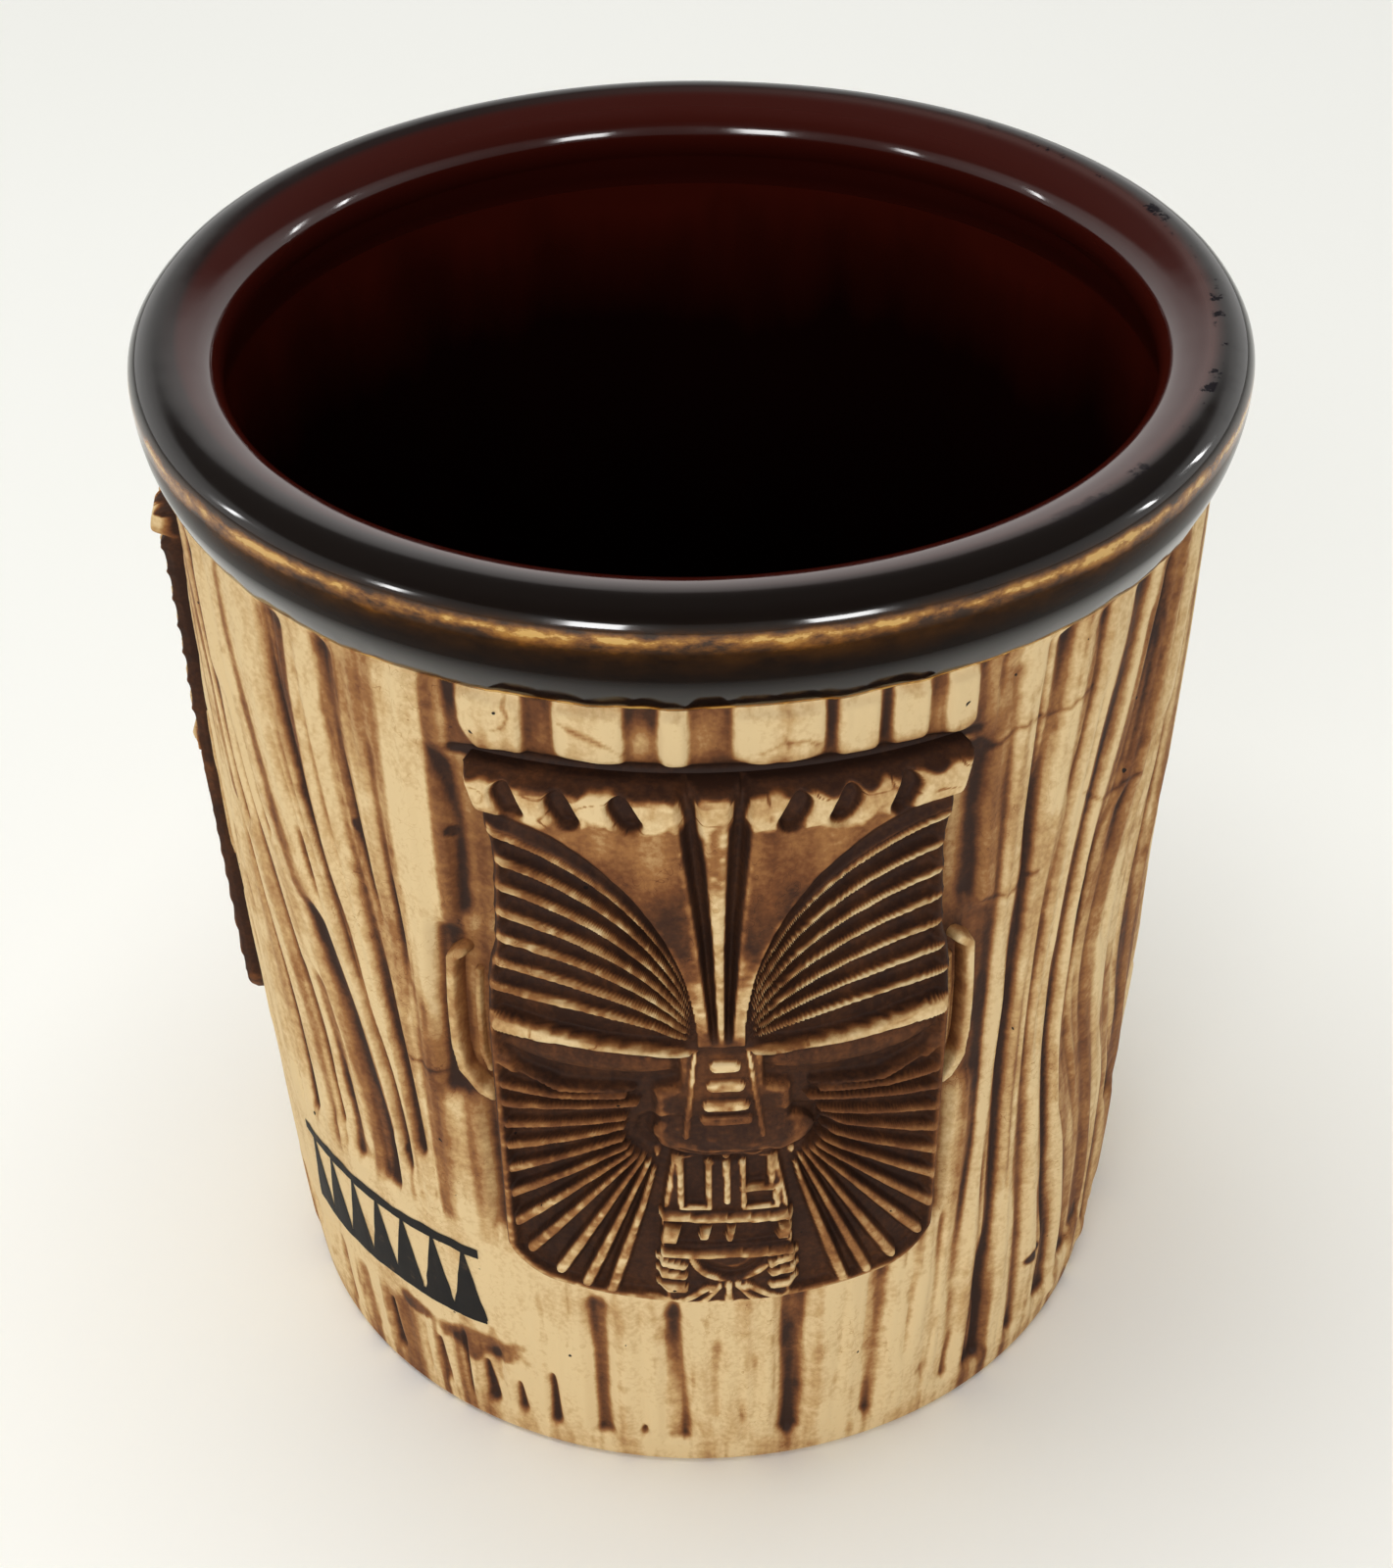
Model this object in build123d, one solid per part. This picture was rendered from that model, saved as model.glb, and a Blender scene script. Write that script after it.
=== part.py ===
from build123d import *
import math
import os

# Tiki mug: a slip-cast stoneware bucket with three carved masks round it, not quite evenly spaced, a
# glazed lip and a glazed inside.  Millimetres.  The origin is the centre of the foot on the table, +Z
# is up, and the first mask looks towards -Y.

# ---- driving dimensions: the turned form ----
HEIGHT = 96.0               # table to the top of the lip
LIP_RADIUS = 45.0           # widest point of the lip
LIP_EDGE = 2.4              # rounding from the lip's widest point to its crown
MOUTH_HEIGHT = 94.0         # height at which the lip runs into the mouth
FOOT_RADIUS = 38.2          # outside of the wall at the table
SHOULDER_RADIUS = 42.9      # outside of the wall where the lip starts
SHOULDER_HEIGHT = 86.6
WALL = 4.5                  # wall thickness, glaze included
FLOOR = 5.5                 # floor thickness, glaze included
FLOOR_FILLET = 6.0          # inside corner of the floor
FOOT_EDGE = 0.8             # rounding of the outer bottom edge
FOOT_RING = 4.5             # width of the ring that the mug stands on
FOOT_RECESS = 1.5           # depth of the hollow under the floor
GLAZE = 0.4                 # thickness of both glaze coats

# ---- driving dimensions: the masks ----
MASK_TURNS = (0, 120, -111)  # middle of the front, right and left mask, degrees from -Y
MASK_HALF_ANGLE = 26.5      # degrees either side of the mask's middle
MASK_TEMPLE_ANGLE = 24.8    # the same at the narrower temples
MASK_TOP = 80.0
MASK_BOTTOM = 24.5
MASK_CORNER = 5.0
MASK_SEAT = 2.0             # how deep the plate is let into the wall
BROW_HEIGHT = 55.0
NOSE_HEIGHT = 47.0
MUZZLE_TOP = 44.5
MOUTH_TOP = 36.2
MOUTH_BOTTOM = 26.5
EAR_TOP = 61.5
EAR_BOTTOM = 46.0
EAR_ANGLE = 32.5
BROW_RIBS = 8
BROW_PITCH = 2.45           # height between one brow rib and the next at the mask's side
CHEEK_SIDE_RIBS = 6
CHEEK_LOWER_RIBS = 3
TEETH = 6
RIB_WIDTH = 1.1

# ---- relief heights above the wall, outwards ----
PLATE_FACE = 2.0
LOW_RELIEF = 2.4
RIB_RELIEF = 2.7
HIGH_RELIEF = 3.2
BITE = 0.3                  # how far a raised feature reaches into what carries it

# ---- driving dimensions: the wood grain between the masks ----
GUTTER_TOP = 82.0           # shadow line between a mask and the plank ends above it
GUTTER_DEPTH = 1.2
GRAIN_DEPTH = 0.8
GRAIN_WIDTH = 1.5
GRAIN_LOW = 3.0
GRAIN_WAIST = 48.0          # height at which the grain draws together
GRAIN_ANGLES = (37, 44, 51, 58, 65, 72, 79)           # degrees from the middle of the mask before them
GRAIN_BENDS = (1, 5, 9, 11, 8, 5, 2)                  # how far each moves sideways at the waist
PLANK_ANGLES = (-19, -10, -3.5, 3, 10, 18)            # joints between the plank ends over a mask

# ---- driving dimensions: the painted border, to the left of the first mask ----
BORDER_TURN = -48.0
BORDER_HALF_ANGLE = 17.0
BORDER_LOW = 14.5
BORDER_HIGH = 24.5
BORDER_TEETH = 7
BORDER_LINE = 1.2
PAINT = 0.2

REACH = 80.0                # longer than the mug is wide, for shapes that are cut to length


def wall_radius(height):
    """Outside radius of the plain wall at a height."""
    return FOOT_RADIUS + (SHOULDER_RADIUS - FOOT_RADIUS) * height / SHOULDER_HEIGHT


def at(angle, height):
    """The point of the front view that lies on the wall at an angle from its middle, in degrees."""
    return (wall_radius(height) * math.sin(math.radians(angle)), height)


def turned(profile):
    """A solid of revolution from a profile drawn as radius and height."""
    return revolve(Plane.XZ * profile, Axis.Z)


def outline(*places):
    """A closed face through points of the front view."""
    return make_face(Polyline(*places, close=True))


def wall_outline(offset, low, high):
    """The half section of the mug's outer cone, moved outwards by offset."""
    return outline(
        (0, low),
        (wall_radius(low) + offset, low),
        (wall_radius(high) + offset, high),
        (0, high),
    )


def cavity_outline(inset):
    """The half section of the drinking space, moved inwards into the wall by inset."""
    floor = FLOOR - inset
    top = HEIGHT + 1
    mouth = SHOULDER_RADIUS - WALL + inset
    section = outline(
        (0, floor),
        (wall_radius(floor) - WALL + inset, floor),
        (mouth, SHOULDER_HEIGHT),
        (mouth, top),
        (0, top),
    )
    corner = section.vertices().sort_by(Axis.Y)[:2].sort_by(Axis.X)[-1]
    return fillet(corner, FLOOR_FILLET + inset)


def lip_outline():
    """The lip's section, glaze included: three arcs that run into each other, closed inside the wall."""
    mouth = SHOULDER_RADIUS - WALL
    widest = (LIP_RADIUS, HEIGHT - LIP_EDGE)
    crown = (LIP_RADIUS - LIP_EDGE, HEIGHT)
    flare = TangentArc(widest, (SHOULDER_RADIUS, SHOULDER_HEIGHT), tangent=(0, -1))
    edge = TangentArc(widest, crown, tangent=(0, 1))
    slope = TangentArc(crown, (mouth, MOUTH_HEIGHT), tangent=(-1, 0))
    inside = Polyline((mouth, MOUTH_HEIGHT), (mouth, SHOULDER_HEIGHT), (SHOULDER_RADIUS, SHOULDER_HEIGHT))
    return make_face(flare + edge + slope + inside)


def wall_section():
    """The half section of the clay outside, without the hollow: cone, foot edge and lip."""
    cone = wall_outline(0, 0, SHOULDER_HEIGHT)
    foot = cone.vertices().sort_by(Axis.Y)[:2].sort_by(Axis.X)[-1]
    lip = lip_outline() & offset(lip_outline(), -GLAZE)
    neck = Pos(SHOULDER_RADIUS - WALL / 2, SHOULDER_HEIGHT) * Rectangle(WALL, 4 * GLAZE)
    return fillet(foot, FOOT_EDGE) + lip + (neck & (lip_outline() + cone))


def relief(sketch, low, high):
    """A front-view sketch wrapped on the wall, from one height above the cone to another."""
    outer = turned(wall_outline(high, 0, SHOULDER_HEIGHT))
    inner = turned(wall_outline(low, -1, SHOULDER_HEIGHT + 1))
    return extrude(Plane.XZ * sketch, REACH, dir=(0, -1, 0)) & (outer - inner)


def strip(points, width):
    """A line of constant width through points given as angle and height."""
    places = [at(angle, height) for angle, height in points]
    path = Line(*places) if len(places) == 2 else Spline(*places)
    return trace(path, width)


def both_sides(sketch):
    """A sketch and its mirror image across the mask's middle."""
    return sketch + mirror(sketch, Plane.YZ)


def patch(half_angle, low, high):
    """A panel of the front view between two heights, its sides following the wall's taper."""
    return outline(
        at(-half_angle, low),
        at(half_angle, low),
        at(half_angle, high),
        at(-half_angle, high),
    )


# ---- the mask, feature by feature, in front view ----
def plate_sketch():
    """The mask's plate: drawn in at the temples, rounded below, with an ear on each side."""
    half = outline(
        (0, MASK_BOTTOM),
        at(MASK_HALF_ANGLE, MASK_BOTTOM),
        at(MASK_HALF_ANGLE, EAR_TOP),
        at(MASK_TEMPLE_ANGLE, EAR_TOP + 4),
        at(MASK_TEMPLE_ANGLE, MASK_TOP - 6),
        at(MASK_HALF_ANGLE + 1, MASK_TOP),
        (0, MASK_TOP),
    )
    jaw = half.vertices().sort_by(Axis.Y)[:2].sort_by(Axis.X)[-1]
    return both_sides(fillet(jaw, MASK_CORNER) + ear_sketch(0))


def ear_sketch(shrink):
    """The right ear: a flat hook that stands out from the plate's edge."""
    inner = MASK_HALF_ANGLE - 2
    reach = EAR_ANGLE - shrink
    low = EAR_BOTTOM + shrink
    high = EAR_TOP - shrink
    return outline(
        at(inner, high),
        at(reach - 1, high),
        at(reach, high - 2.5),
        at(reach - 0.5, low + 3),
        at(reach - 3, low),
        at(inner, low + 1),
    )


def forehead_sketch():
    """The strip along the top, and the smooth panel on each side below it."""
    top_strip = patch(MASK_HALF_ANGLE - 1.5, MASK_TOP - 2.6, MASK_TOP - 0.6)
    panel = outline(
        at(4, MASK_TOP - 4),
        at(23, MASK_TOP - 3.7),
        at(14, MASK_TOP - 7),
        at(6.5, MASK_TOP - 12),
    )
    return top_strip + both_sides(panel)


def brow_sketch():
    """Ribs that fan out from between the eyes, each bending over to the mask's side."""
    ribs = strip([(0, BROW_HEIGHT), (0, MASK_TOP - 4.5)], RIB_WIDTH * 1.5)
    highest = BROW_PITCH * BROW_RIBS
    for number in range(BROW_RIBS):
        rise = highest - BROW_PITCH * number
        rib = strip(
            [
                (2.5, BROW_HEIGHT + 0.5),
                (7 + number * 0.6, BROW_HEIGHT + rise * 0.78),
                (23.5, BROW_HEIGHT + rise),
            ],
            RIB_WIDTH,
        )
        ribs += both_sides(rib)
    return ribs + patch(3.2, BROW_HEIGHT - 0.5, BROW_HEIGHT + 2.5)


def ledge_sketch():
    """The brow's lower edge, a shallow V over both eyes."""
    return both_sides(strip([(0, BROW_HEIGHT - 1), (26, BROW_HEIGHT + 1.2)], 1.6))


def eye_sketch():
    """Closed almond eyelids."""
    height = BROW_HEIGHT - 3.5
    lid = make_face(
        ThreePointArc(at(6, height), at(15, height + 2.4), at(24, height + 0.9))
        + ThreePointArc(at(24, height + 0.9), at(15, height - 1.6), at(6, height))
    )
    return both_sides(lid)


def nose_sketch():
    """The bridge, widening to a broad oval tip."""
    bridge = outline(
        at(-2, BROW_HEIGHT),
        at(2, BROW_HEIGHT),
        at(4, NOSE_HEIGHT),
        at(-4, NOSE_HEIGHT),
    )
    return bridge + Pos(0, NOSE_HEIGHT) * Ellipse(6.4, 3.0)


def muzzle_sketch():
    """The column under the nose, widening towards the mouth."""
    return outline(
        at(-5, MUZZLE_TOP),
        at(5, MUZZLE_TOP),
        at(6.5, MOUTH_TOP),
        at(-6.5, MOUTH_TOP),
    )


def mouth_sketch():
    """The open mouth's frame, as wide as the column above it."""
    return outline(
        at(-6.2, MOUTH_TOP + 0.2),
        at(6.2, MOUTH_TOP + 0.2),
        at(8, MOUTH_BOTTOM),
        at(-8, MOUTH_BOTTOM),
    )


def teeth_sketch():
    """Square teeth in a row."""
    pitch = 1.7
    first = -pitch * (TEETH - 1) / 2
    row = Sketch()
    for number in range(TEETH):
        row += Pos(first + pitch * number, MOUTH_TOP - 3) * Rectangle(pitch - 0.4, 2.2)
    return row


def tongue_sketch():
    """The half-round tongue under the teeth."""
    half_width = 3.4
    top = MOUTH_TOP - 5.4
    return make_face(
        ThreePointArc((-half_width, top), (0, top - half_width), (half_width, top))
        + Line((half_width, top), (-half_width, top))
    )


def cheek_sketch():
    """Ribs that radiate from the muzzle to the mask's side and lower edge."""
    ends = [(25.5, 48.5 - 2.9 * number) for number in range(CHEEK_SIDE_RIBS)]
    ends += [(23 - 4.4 * number, 27.4 - 0.3 * number) for number in range(CHEEK_LOWER_RIBS)]
    ribs = Sketch()
    for number, end in enumerate(ends):
        start = (9.5, NOSE_HEIGHT - 0.5 - 1.1 * number)
        ribs += both_sides(strip([start, end], RIB_WIDTH))
    return ribs


def mask_solid():
    """One carved mask, facing -Y, with the edge that is let into the wall."""
    carrier = PLATE_FACE - BITE
    ridge = strip([(0, MUZZLE_TOP), (0, MOUTH_TOP)], RIB_WIDTH)
    mask = relief(plate_sketch(), -MASK_SEAT, PLATE_FACE)
    mask += relief(both_sides(ear_sketch(1.0)), carrier, LOW_RELIEF)
    mask += relief(forehead_sketch(), carrier, LOW_RELIEF)
    mask += relief(brow_sketch(), carrier, RIB_RELIEF)
    mask += relief(ledge_sketch(), carrier, HIGH_RELIEF)
    mask += relief(eye_sketch(), carrier, LOW_RELIEF)
    mask += relief(cheek_sketch(), carrier, LOW_RELIEF)
    mask += relief(nose_sketch(), carrier, HIGH_RELIEF)
    mask += relief(muzzle_sketch(), carrier, LOW_RELIEF)
    mask += relief(ridge, carrier, RIB_RELIEF)
    mask += relief(mouth_sketch(), carrier, LOW_RELIEF)
    mask += relief(teeth_sketch(), LOW_RELIEF - BITE, RIB_RELIEF)
    mask += relief(tongue_sketch(), LOW_RELIEF - BITE, RIB_RELIEF)
    return mask


# ---- the turned body and what covers it ----
def foot_recess():
    """The half section of the hollow under the floor, inside the foot ring."""
    radius = FOOT_RADIUS - FOOT_EDGE - FOOT_RING
    return Pos(radius / 2, FOOT_RECESS / 2) * Rectangle(radius, FOOT_RECESS)


def carved(sketch, depth):
    """A cutter that sinks a front-view sketch into the wall by depth."""
    return relief(sketch, -depth, HIGH_RELIEF)


def plank_joint():
    """A cutter for the joint between two plank ends, above a mask."""
    length = SHOULDER_HEIGHT - GUTTER_TOP + 1
    middle = (GUTTER_TOP + SHOULDER_HEIGHT) / 2
    return carved(Pos(0, middle) * Rectangle(GRAIN_WIDTH, length), GRAIN_DEPTH)


def grain_groove(bend):
    """A cutter for one groove of the grain, which moves sideways by bend degrees at the waist."""
    path = [(0, GRAIN_LOW), (-bend, GRAIN_WAIST), (0, SHOULDER_HEIGHT - 1)]
    return carved(strip(path, GRAIN_WIDTH), GRAIN_DEPTH)


def border_covers(angle):
    """Whether the painted border, whose wall is left smooth, lies at this angle round the mug."""
    away = (angle - BORDER_TURN + 180) % 360 - 180
    return abs(away) < BORDER_HALF_ANGLE + 2


def clay_body():
    """The cast bucket: wall, floor, foot ring and lip, hollowed, with a seat for each mask."""
    body = turned(wall_section() - cavity_outline(GLAZE) - foot_recess())
    seat = carved(plate_sketch(), MASK_SEAT)
    gutter = carved(patch(MASK_HALF_ANGLE + 2, MASK_TOP, GUTTER_TOP), GUTTER_DEPTH)
    joint = plank_joint()
    grooves = [grain_groove(bend) for bend in GRAIN_BENDS]
    for turn in MASK_TURNS:
        body -= Rot(Z=turn) * seat
        body -= Rot(Z=turn) * gutter
        for angle in PLANK_ANGLES:
            body -= Rot(Z=turn + angle) * joint
        for angle, groove in zip(GRAIN_ANGLES, grooves):
            if not border_covers(turn + angle):
                body -= Rot(Z=turn + angle) * groove
    return body


def liner_glaze():
    """The glaze coat on the inside wall and floor."""
    coat = cavity_outline(GLAZE) - cavity_outline(0)
    return turned(coat & wall_section())


def rim_glaze():
    """The dark glaze coat over the lip, down to where the inside coat meets it in the mouth."""
    return turned(lip_outline() - wall_section())


def painted_border():
    """A zigzag between two lines, painted on the smooth stretch of wall beside the first mask."""
    marks = patch(BORDER_HALF_ANGLE, BORDER_LOW, BORDER_LOW + BORDER_LINE)
    marks += patch(BORDER_HALF_ANGLE, BORDER_HIGH - BORDER_LINE, BORDER_HIGH)
    step = 2 * BORDER_HALF_ANGLE / BORDER_TEETH
    for number in range(BORDER_TEETH):
        left = -BORDER_HALF_ANGLE + step * number
        marks += outline(
            at(left, BORDER_LOW),
            at(left + step, BORDER_LOW),
            at(left + step / 2, BORDER_HIGH - BORDER_LINE / 2),
        )
    return Rot(Z=BORDER_TURN) * relief(marks, 0, PAINT)


def main():
    mask = mask_solid()
    front, right, left = MASK_TURNS
    parts = {
        "clay_body": clay_body(),
        "liner_glaze": liner_glaze(),
        "rim_glaze": rim_glaze(),
        "mask_front": Rot(Z=front) * mask,
        "mask_right": Rot(Z=right) * mask,
        "mask_left": Rot(Z=left) * mask,
        "painted_border": painted_border(),
    }
    os.makedirs("parts", exist_ok=True)
    for name, shape in parts.items():
        export_step(shape, os.path.join("parts", name + ".step"))


main()
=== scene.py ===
import math

import bpy
import numpy as np
from mathutils import Matrix, Vector


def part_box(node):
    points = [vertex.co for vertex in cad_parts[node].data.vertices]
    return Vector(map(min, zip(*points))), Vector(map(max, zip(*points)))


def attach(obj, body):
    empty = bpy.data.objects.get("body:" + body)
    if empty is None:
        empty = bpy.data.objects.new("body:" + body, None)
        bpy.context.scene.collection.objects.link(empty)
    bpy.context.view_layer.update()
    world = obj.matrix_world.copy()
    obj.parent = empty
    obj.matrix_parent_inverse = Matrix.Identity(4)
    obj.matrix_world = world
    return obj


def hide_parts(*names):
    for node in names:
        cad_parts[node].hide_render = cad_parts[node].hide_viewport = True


# Tiki mug: carved and stained stoneware round the CAD frame.  Shapes are worked out in millimetres as
# heights over the CAD wall, on a grid of turn (degrees from -Y towards +X) and height, and are turned
# into metres when a mesh is made.

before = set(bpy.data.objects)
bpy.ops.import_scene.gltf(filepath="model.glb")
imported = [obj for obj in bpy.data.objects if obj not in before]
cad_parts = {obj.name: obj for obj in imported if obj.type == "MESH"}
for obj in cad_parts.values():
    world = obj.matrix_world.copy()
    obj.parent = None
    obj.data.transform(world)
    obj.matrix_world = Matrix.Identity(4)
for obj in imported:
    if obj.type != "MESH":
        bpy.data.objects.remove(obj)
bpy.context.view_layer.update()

MM = 0.001
RANDOM = np.random.default_rng(11)


# ---- sizes measured on the CAD frame ----
def cad_places(node):
    """Distance from the axis and height of every vertex of a CAD node."""
    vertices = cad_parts[node].data.vertices
    places = np.zeros(len(vertices) * 3)
    vertices.foreach_get("co", places)
    x, y, z = places.reshape(-1, 3).T / MM
    return np.hypot(x, y), z


def widest(node, low, high):
    """Largest distance from the axis that a CAD node reaches between two heights."""
    reach, height = cad_places(node)
    return reach[(height >= low) & (height <= high)].max()


RIM_REACH, RIM_HEIGHTS = cad_places("rim_glaze")
HEIGHT = RIM_HEIGHTS.max()
LIP_RADIUS = RIM_REACH.max()
MOUTH_RADIUS = RIM_REACH.min()
SHOULDER = RIM_HEIGHTS.min()
SHOULDER_RADIUS = widest("clay_body", SHOULDER - 2, SHOULDER + 0.2)
FOOT_RADIUS = widest("clay_body", 0, 2)
GLAZE = LIP_RADIUS - widest("clay_body", SHOULDER, HEIGHT)
LIP_EDGE = HEIGHT - RIM_HEIGHTS[RIM_REACH > LIP_RADIUS - 0.02].mean()
LINER_LOW = cad_places("liner_glaze")[1].min()
FLOOR = LINER_LOW + GLAZE
WALL = SHOULDER_RADIUS - MOUTH_RADIUS
MASK_LOW, MASK_HIGH = (corner.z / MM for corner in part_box("mask_front"))
MASK_TALL = MASK_HIGH - MASK_LOW
MASK_TURNS = (0.0, 120.0, -111.0)
MASK_NODES = ("mask_front", "mask_right", "mask_left")
MASK_EDGES = (1.2, 3.2, 3.2)              # how far in from its edge each mask's carving is worn level
BORDER_LOW, BORDER_HIGH = (corner.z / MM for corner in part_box("painted_border"))

CAVITY_CORNER = 6.0
FOOT_RING_OUTSIDE = 1.0                   # how far the ring's two edges lie in from the foot's edge
FOOT_RING_INSIDE = 5.3
RECESS = 1.5                              # how far the underside lies above the table inside the ring
MASK_SINK = 2.0                           # how deep the masks reach into the wall

WALL_COLUMNS = 1440
WALL_STEP = 0.25
GLAZE_COLUMNS = 720


def wall_radius(z):
    """Radius of the CAD wall's cone at a height."""
    return FOOT_RADIUS + (SHOULDER_RADIUS - FOOT_RADIUS) * z / SHOULDER


def apart(turn, middle):
    """Angle from one direction to another, between -180 and 180 degrees."""
    return (turn - middle + 180) % 360 - 180


def arc_length(angle, z):
    """Millimetres along the wall for an angle."""
    return np.radians(angle) * wall_radius(z)


# ---- numbers in fields ----
def smooth(value, low, high):
    """0 up to low, 1 from high, and an even curve between."""
    part = np.clip((value - low) / (high - low), 0, 1)
    return part * part * (3 - 2 * part)


def plateau(value, rise, risen, fall, fallen):
    """0 outside, 1 between risen and fall, and even curves on both sides."""
    return smooth(value, rise, risen) * (1 - smooth(value, fall, fallen))


def bell(value, middle, half):
    """1 at the middle, falling off evenly on both sides."""
    return np.exp(-(((value - middle) / half) ** 2))


def curve(value, *knots):
    """Straight lines through (value, result) knots, held level past both ends."""
    places, results = zip(*sorted(knots))
    return np.interp(value, places, results)


def wobble(across, along, size=64):
    """Random values between -1 and 1 that change smoothly over one unit each way."""
    table = RANDOM.uniform(-1, 1, (size, size))
    left, low = np.floor(across), np.floor(along)
    right_share = smooth(across - left, 0, 1)
    high_share = smooth(along - low, 0, 1)
    i, j = left.astype(int) % size, low.astype(int) % size
    k, m = (i + 1) % size, (j + 1) % size
    lower = table[i, j] * (1 - right_share) + table[k, j] * right_share
    upper = table[i, m] * (1 - right_share) + table[k, m] * right_share
    return lower * (1 - high_share) + upper * high_share


def blurred(field, rows, columns, wrap):
    """A field with a Gaussian blur, its spread given in rows and columns."""
    row_pad = int(3 * rows) + 1
    column_pad = 0 if wrap else int(3 * columns) + 1
    padded = np.pad(field, ((row_pad, row_pad), (column_pad, column_pad)), mode="edge")
    down = np.fft.fftfreq(padded.shape[0])[:, None]
    across = np.fft.rfftfreq(padded.shape[1])[None, :]
    gain = np.exp(-2 * np.pi**2 * ((rows * down) ** 2 + (columns * across) ** 2))
    result = np.fft.irfft2(np.fft.rfft2(padded) * gain, s=padded.shape)
    height, width = field.shape
    return result[row_pad:row_pad + height, column_pad:column_pad + width]


def distance_to(points, across, up):
    """Distance from each place of a field to a line through points."""
    nearest = np.full(across.shape, 1e6)
    for (ax, ay), (bx, by) in zip(points, points[1:]):
        dx, dy = bx - ax, by - ay
        share = np.clip(((across - ax) * dx + (up - ay) * dy) / (dx * dx + dy * dy), 0, 1)
        nearest = np.minimum(nearest, np.hypot(across - ax - share * dx, up - ay - share * dy))
    return nearest


def stroke(points, width, across, up):
    """1 along the middle of a drawn line, falling off roundly to 0 at its edges."""
    return np.clip(1 - (2 * distance_to(points, across, up) / width) ** 2, 0, 1)


def put(field, value, share):
    """A field moved towards another value by a share between 0 and 1."""
    return field * (1 - share) + value * share


# ---- the mask's outline, in millimetres right of its middle and up from its lowest point ----
def mask_half_width(v):
    """Half the plate's width: widest at the top corners, drawn in at the temples."""
    return curve(v, (0, 17.6), (30, 17.9), (36, 17.6), (39, 16.9), (48, 16.6), (52, 17.3), (55.5, 18.9))


def mask_bottom(share):
    """The plate's lower edge, by the share of the half width: a shallow bow with rounded corners."""
    corner = np.clip((np.abs(share) - 0.75) / 0.25, 0, 1)
    return 1.8 * share**2 + 4.5 * (1 - np.sqrt(1 - 0.98 * corner**2))


def outside_plate(u, v):
    """Distance outside the plate's outline; negative on the plate."""
    half = mask_half_width(v)
    share = np.clip(u / half, -1, 1)
    return np.maximum(np.maximum(np.abs(u) - half, v - MASK_TALL), mask_bottom(share) - v)


EAR_INNER, EAR_OUTER = 0.1, 4.9           # from the plate's edge
EAR_LOW, EAR_HIGH = 19.3, 36.8


# ---- the wall's relief ----
def right_grain(angle, z):
    """Where the grain line through a place starts at the top, right of the first mask; it has a waist."""
    bend = curve(angle, (32, 0), (48, 12.7), (66, 9.0), (88, 0))
    return angle + bend * bell(z, 48, 24)


def left_grain(angle, z):
    """The same to the left of the first mask: lines drift towards the mask on the way down."""
    drift = smooth(85 - z, 0, 55)
    lean = 0.68 * drift
    near = (angle + 35 * lean) / (1 - lean)
    far = angle - 17 * drift
    return np.where(angle > -35, angle, np.where(near > -60, near, far))


def grain_angle(turn, z):
    """Every place's grain line, named by its angle at the top.

    The back panel is the right one, mirrored and stretched."""
    _, right_middle, left_middle = MASK_TURNS
    right = right_grain(turn, z)
    left = left_grain(turn, z)
    back = BACK_START - BACK_STRETCH * right_grain((BACK_START - turn % 360) / BACK_STRETCH, z)
    grain = np.where((turn > 0) & (turn < right_middle), right, back)
    grain = np.where((turn < 0) & (turn > left_middle), left, grain)
    return np.where(np.abs(turn) < 30, turn, grain)


BACK_START, BACK_STRETCH = 256.0, 1.2     # degrees where the mirrored panel starts, and its stretch

# Grain lines: angle at the top, upper end, lower end, width, depth.
LEFT_LINES = (
    (-37.6, 80, 40, 0.7, 0.35), (-40.2, 87, 62, 0.6, 0.3), (-43.4, 88, 33, 1.5, 0.95),
    (-46.0, 84, 66, 0.6, 0.3), (-47.8, 87, 52, 0.7, 0.4), (-51.6, 88, 30, 1.6, 0.95),
    (-54.5, 80, 52, 0.7, 0.4), (-57.5, 66, 33, 0.9, 0.5), (-61.2, 58, 26, 1.6, 0.9),
    (-65.5, 87, 60, 1.1, 0.6), (-66.5, 50, 27, 1.3, 0.7), (-69.8, 74, 30, 1.0, 0.55),
    (-73.5, 86, 58, 1.3, 0.7), (-77.0, 60, 28, 1.2, 0.7),
)
RIGHT_LINES = (
    (27.6, 87, 64, 0.8, 0.45), (29.7, 60, 24, 0.7, 0.3), (32.0, 87, 2.5, 1.0, 0.6), (35.2, 84, 36, 0.6, 0.3),
    (38.4, 88, 2.5, 1.5, 0.95), (41.0, 83, 55, 0.6, 0.3), (43.2, 60, 12, 0.7, 0.4), (45.6, 88, 3, 1.3, 0.8),
    (48.8, 80, 40, 0.7, 0.4), (50.6, 50, 6, 0.7, 0.45), (53.0, 88, 4, 1.4, 0.9), (56.0, 84, 58, 0.7, 0.4),
    (58.6, 88, 6, 1.4, 0.9), (61.5, 66, 8, 1.3, 0.8), (64.5, 88, 48, 0.9, 0.5), (67.5, 70, 5, 1.1, 0.7),
    (71.0, 88, 20, 1.3, 0.8), (75.0, 60, 5, 0.9, 0.5), (78.0, 88, 8, 1.3, 0.8), (82.5, 88, 30, 1.0, 0.5),
)
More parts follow.
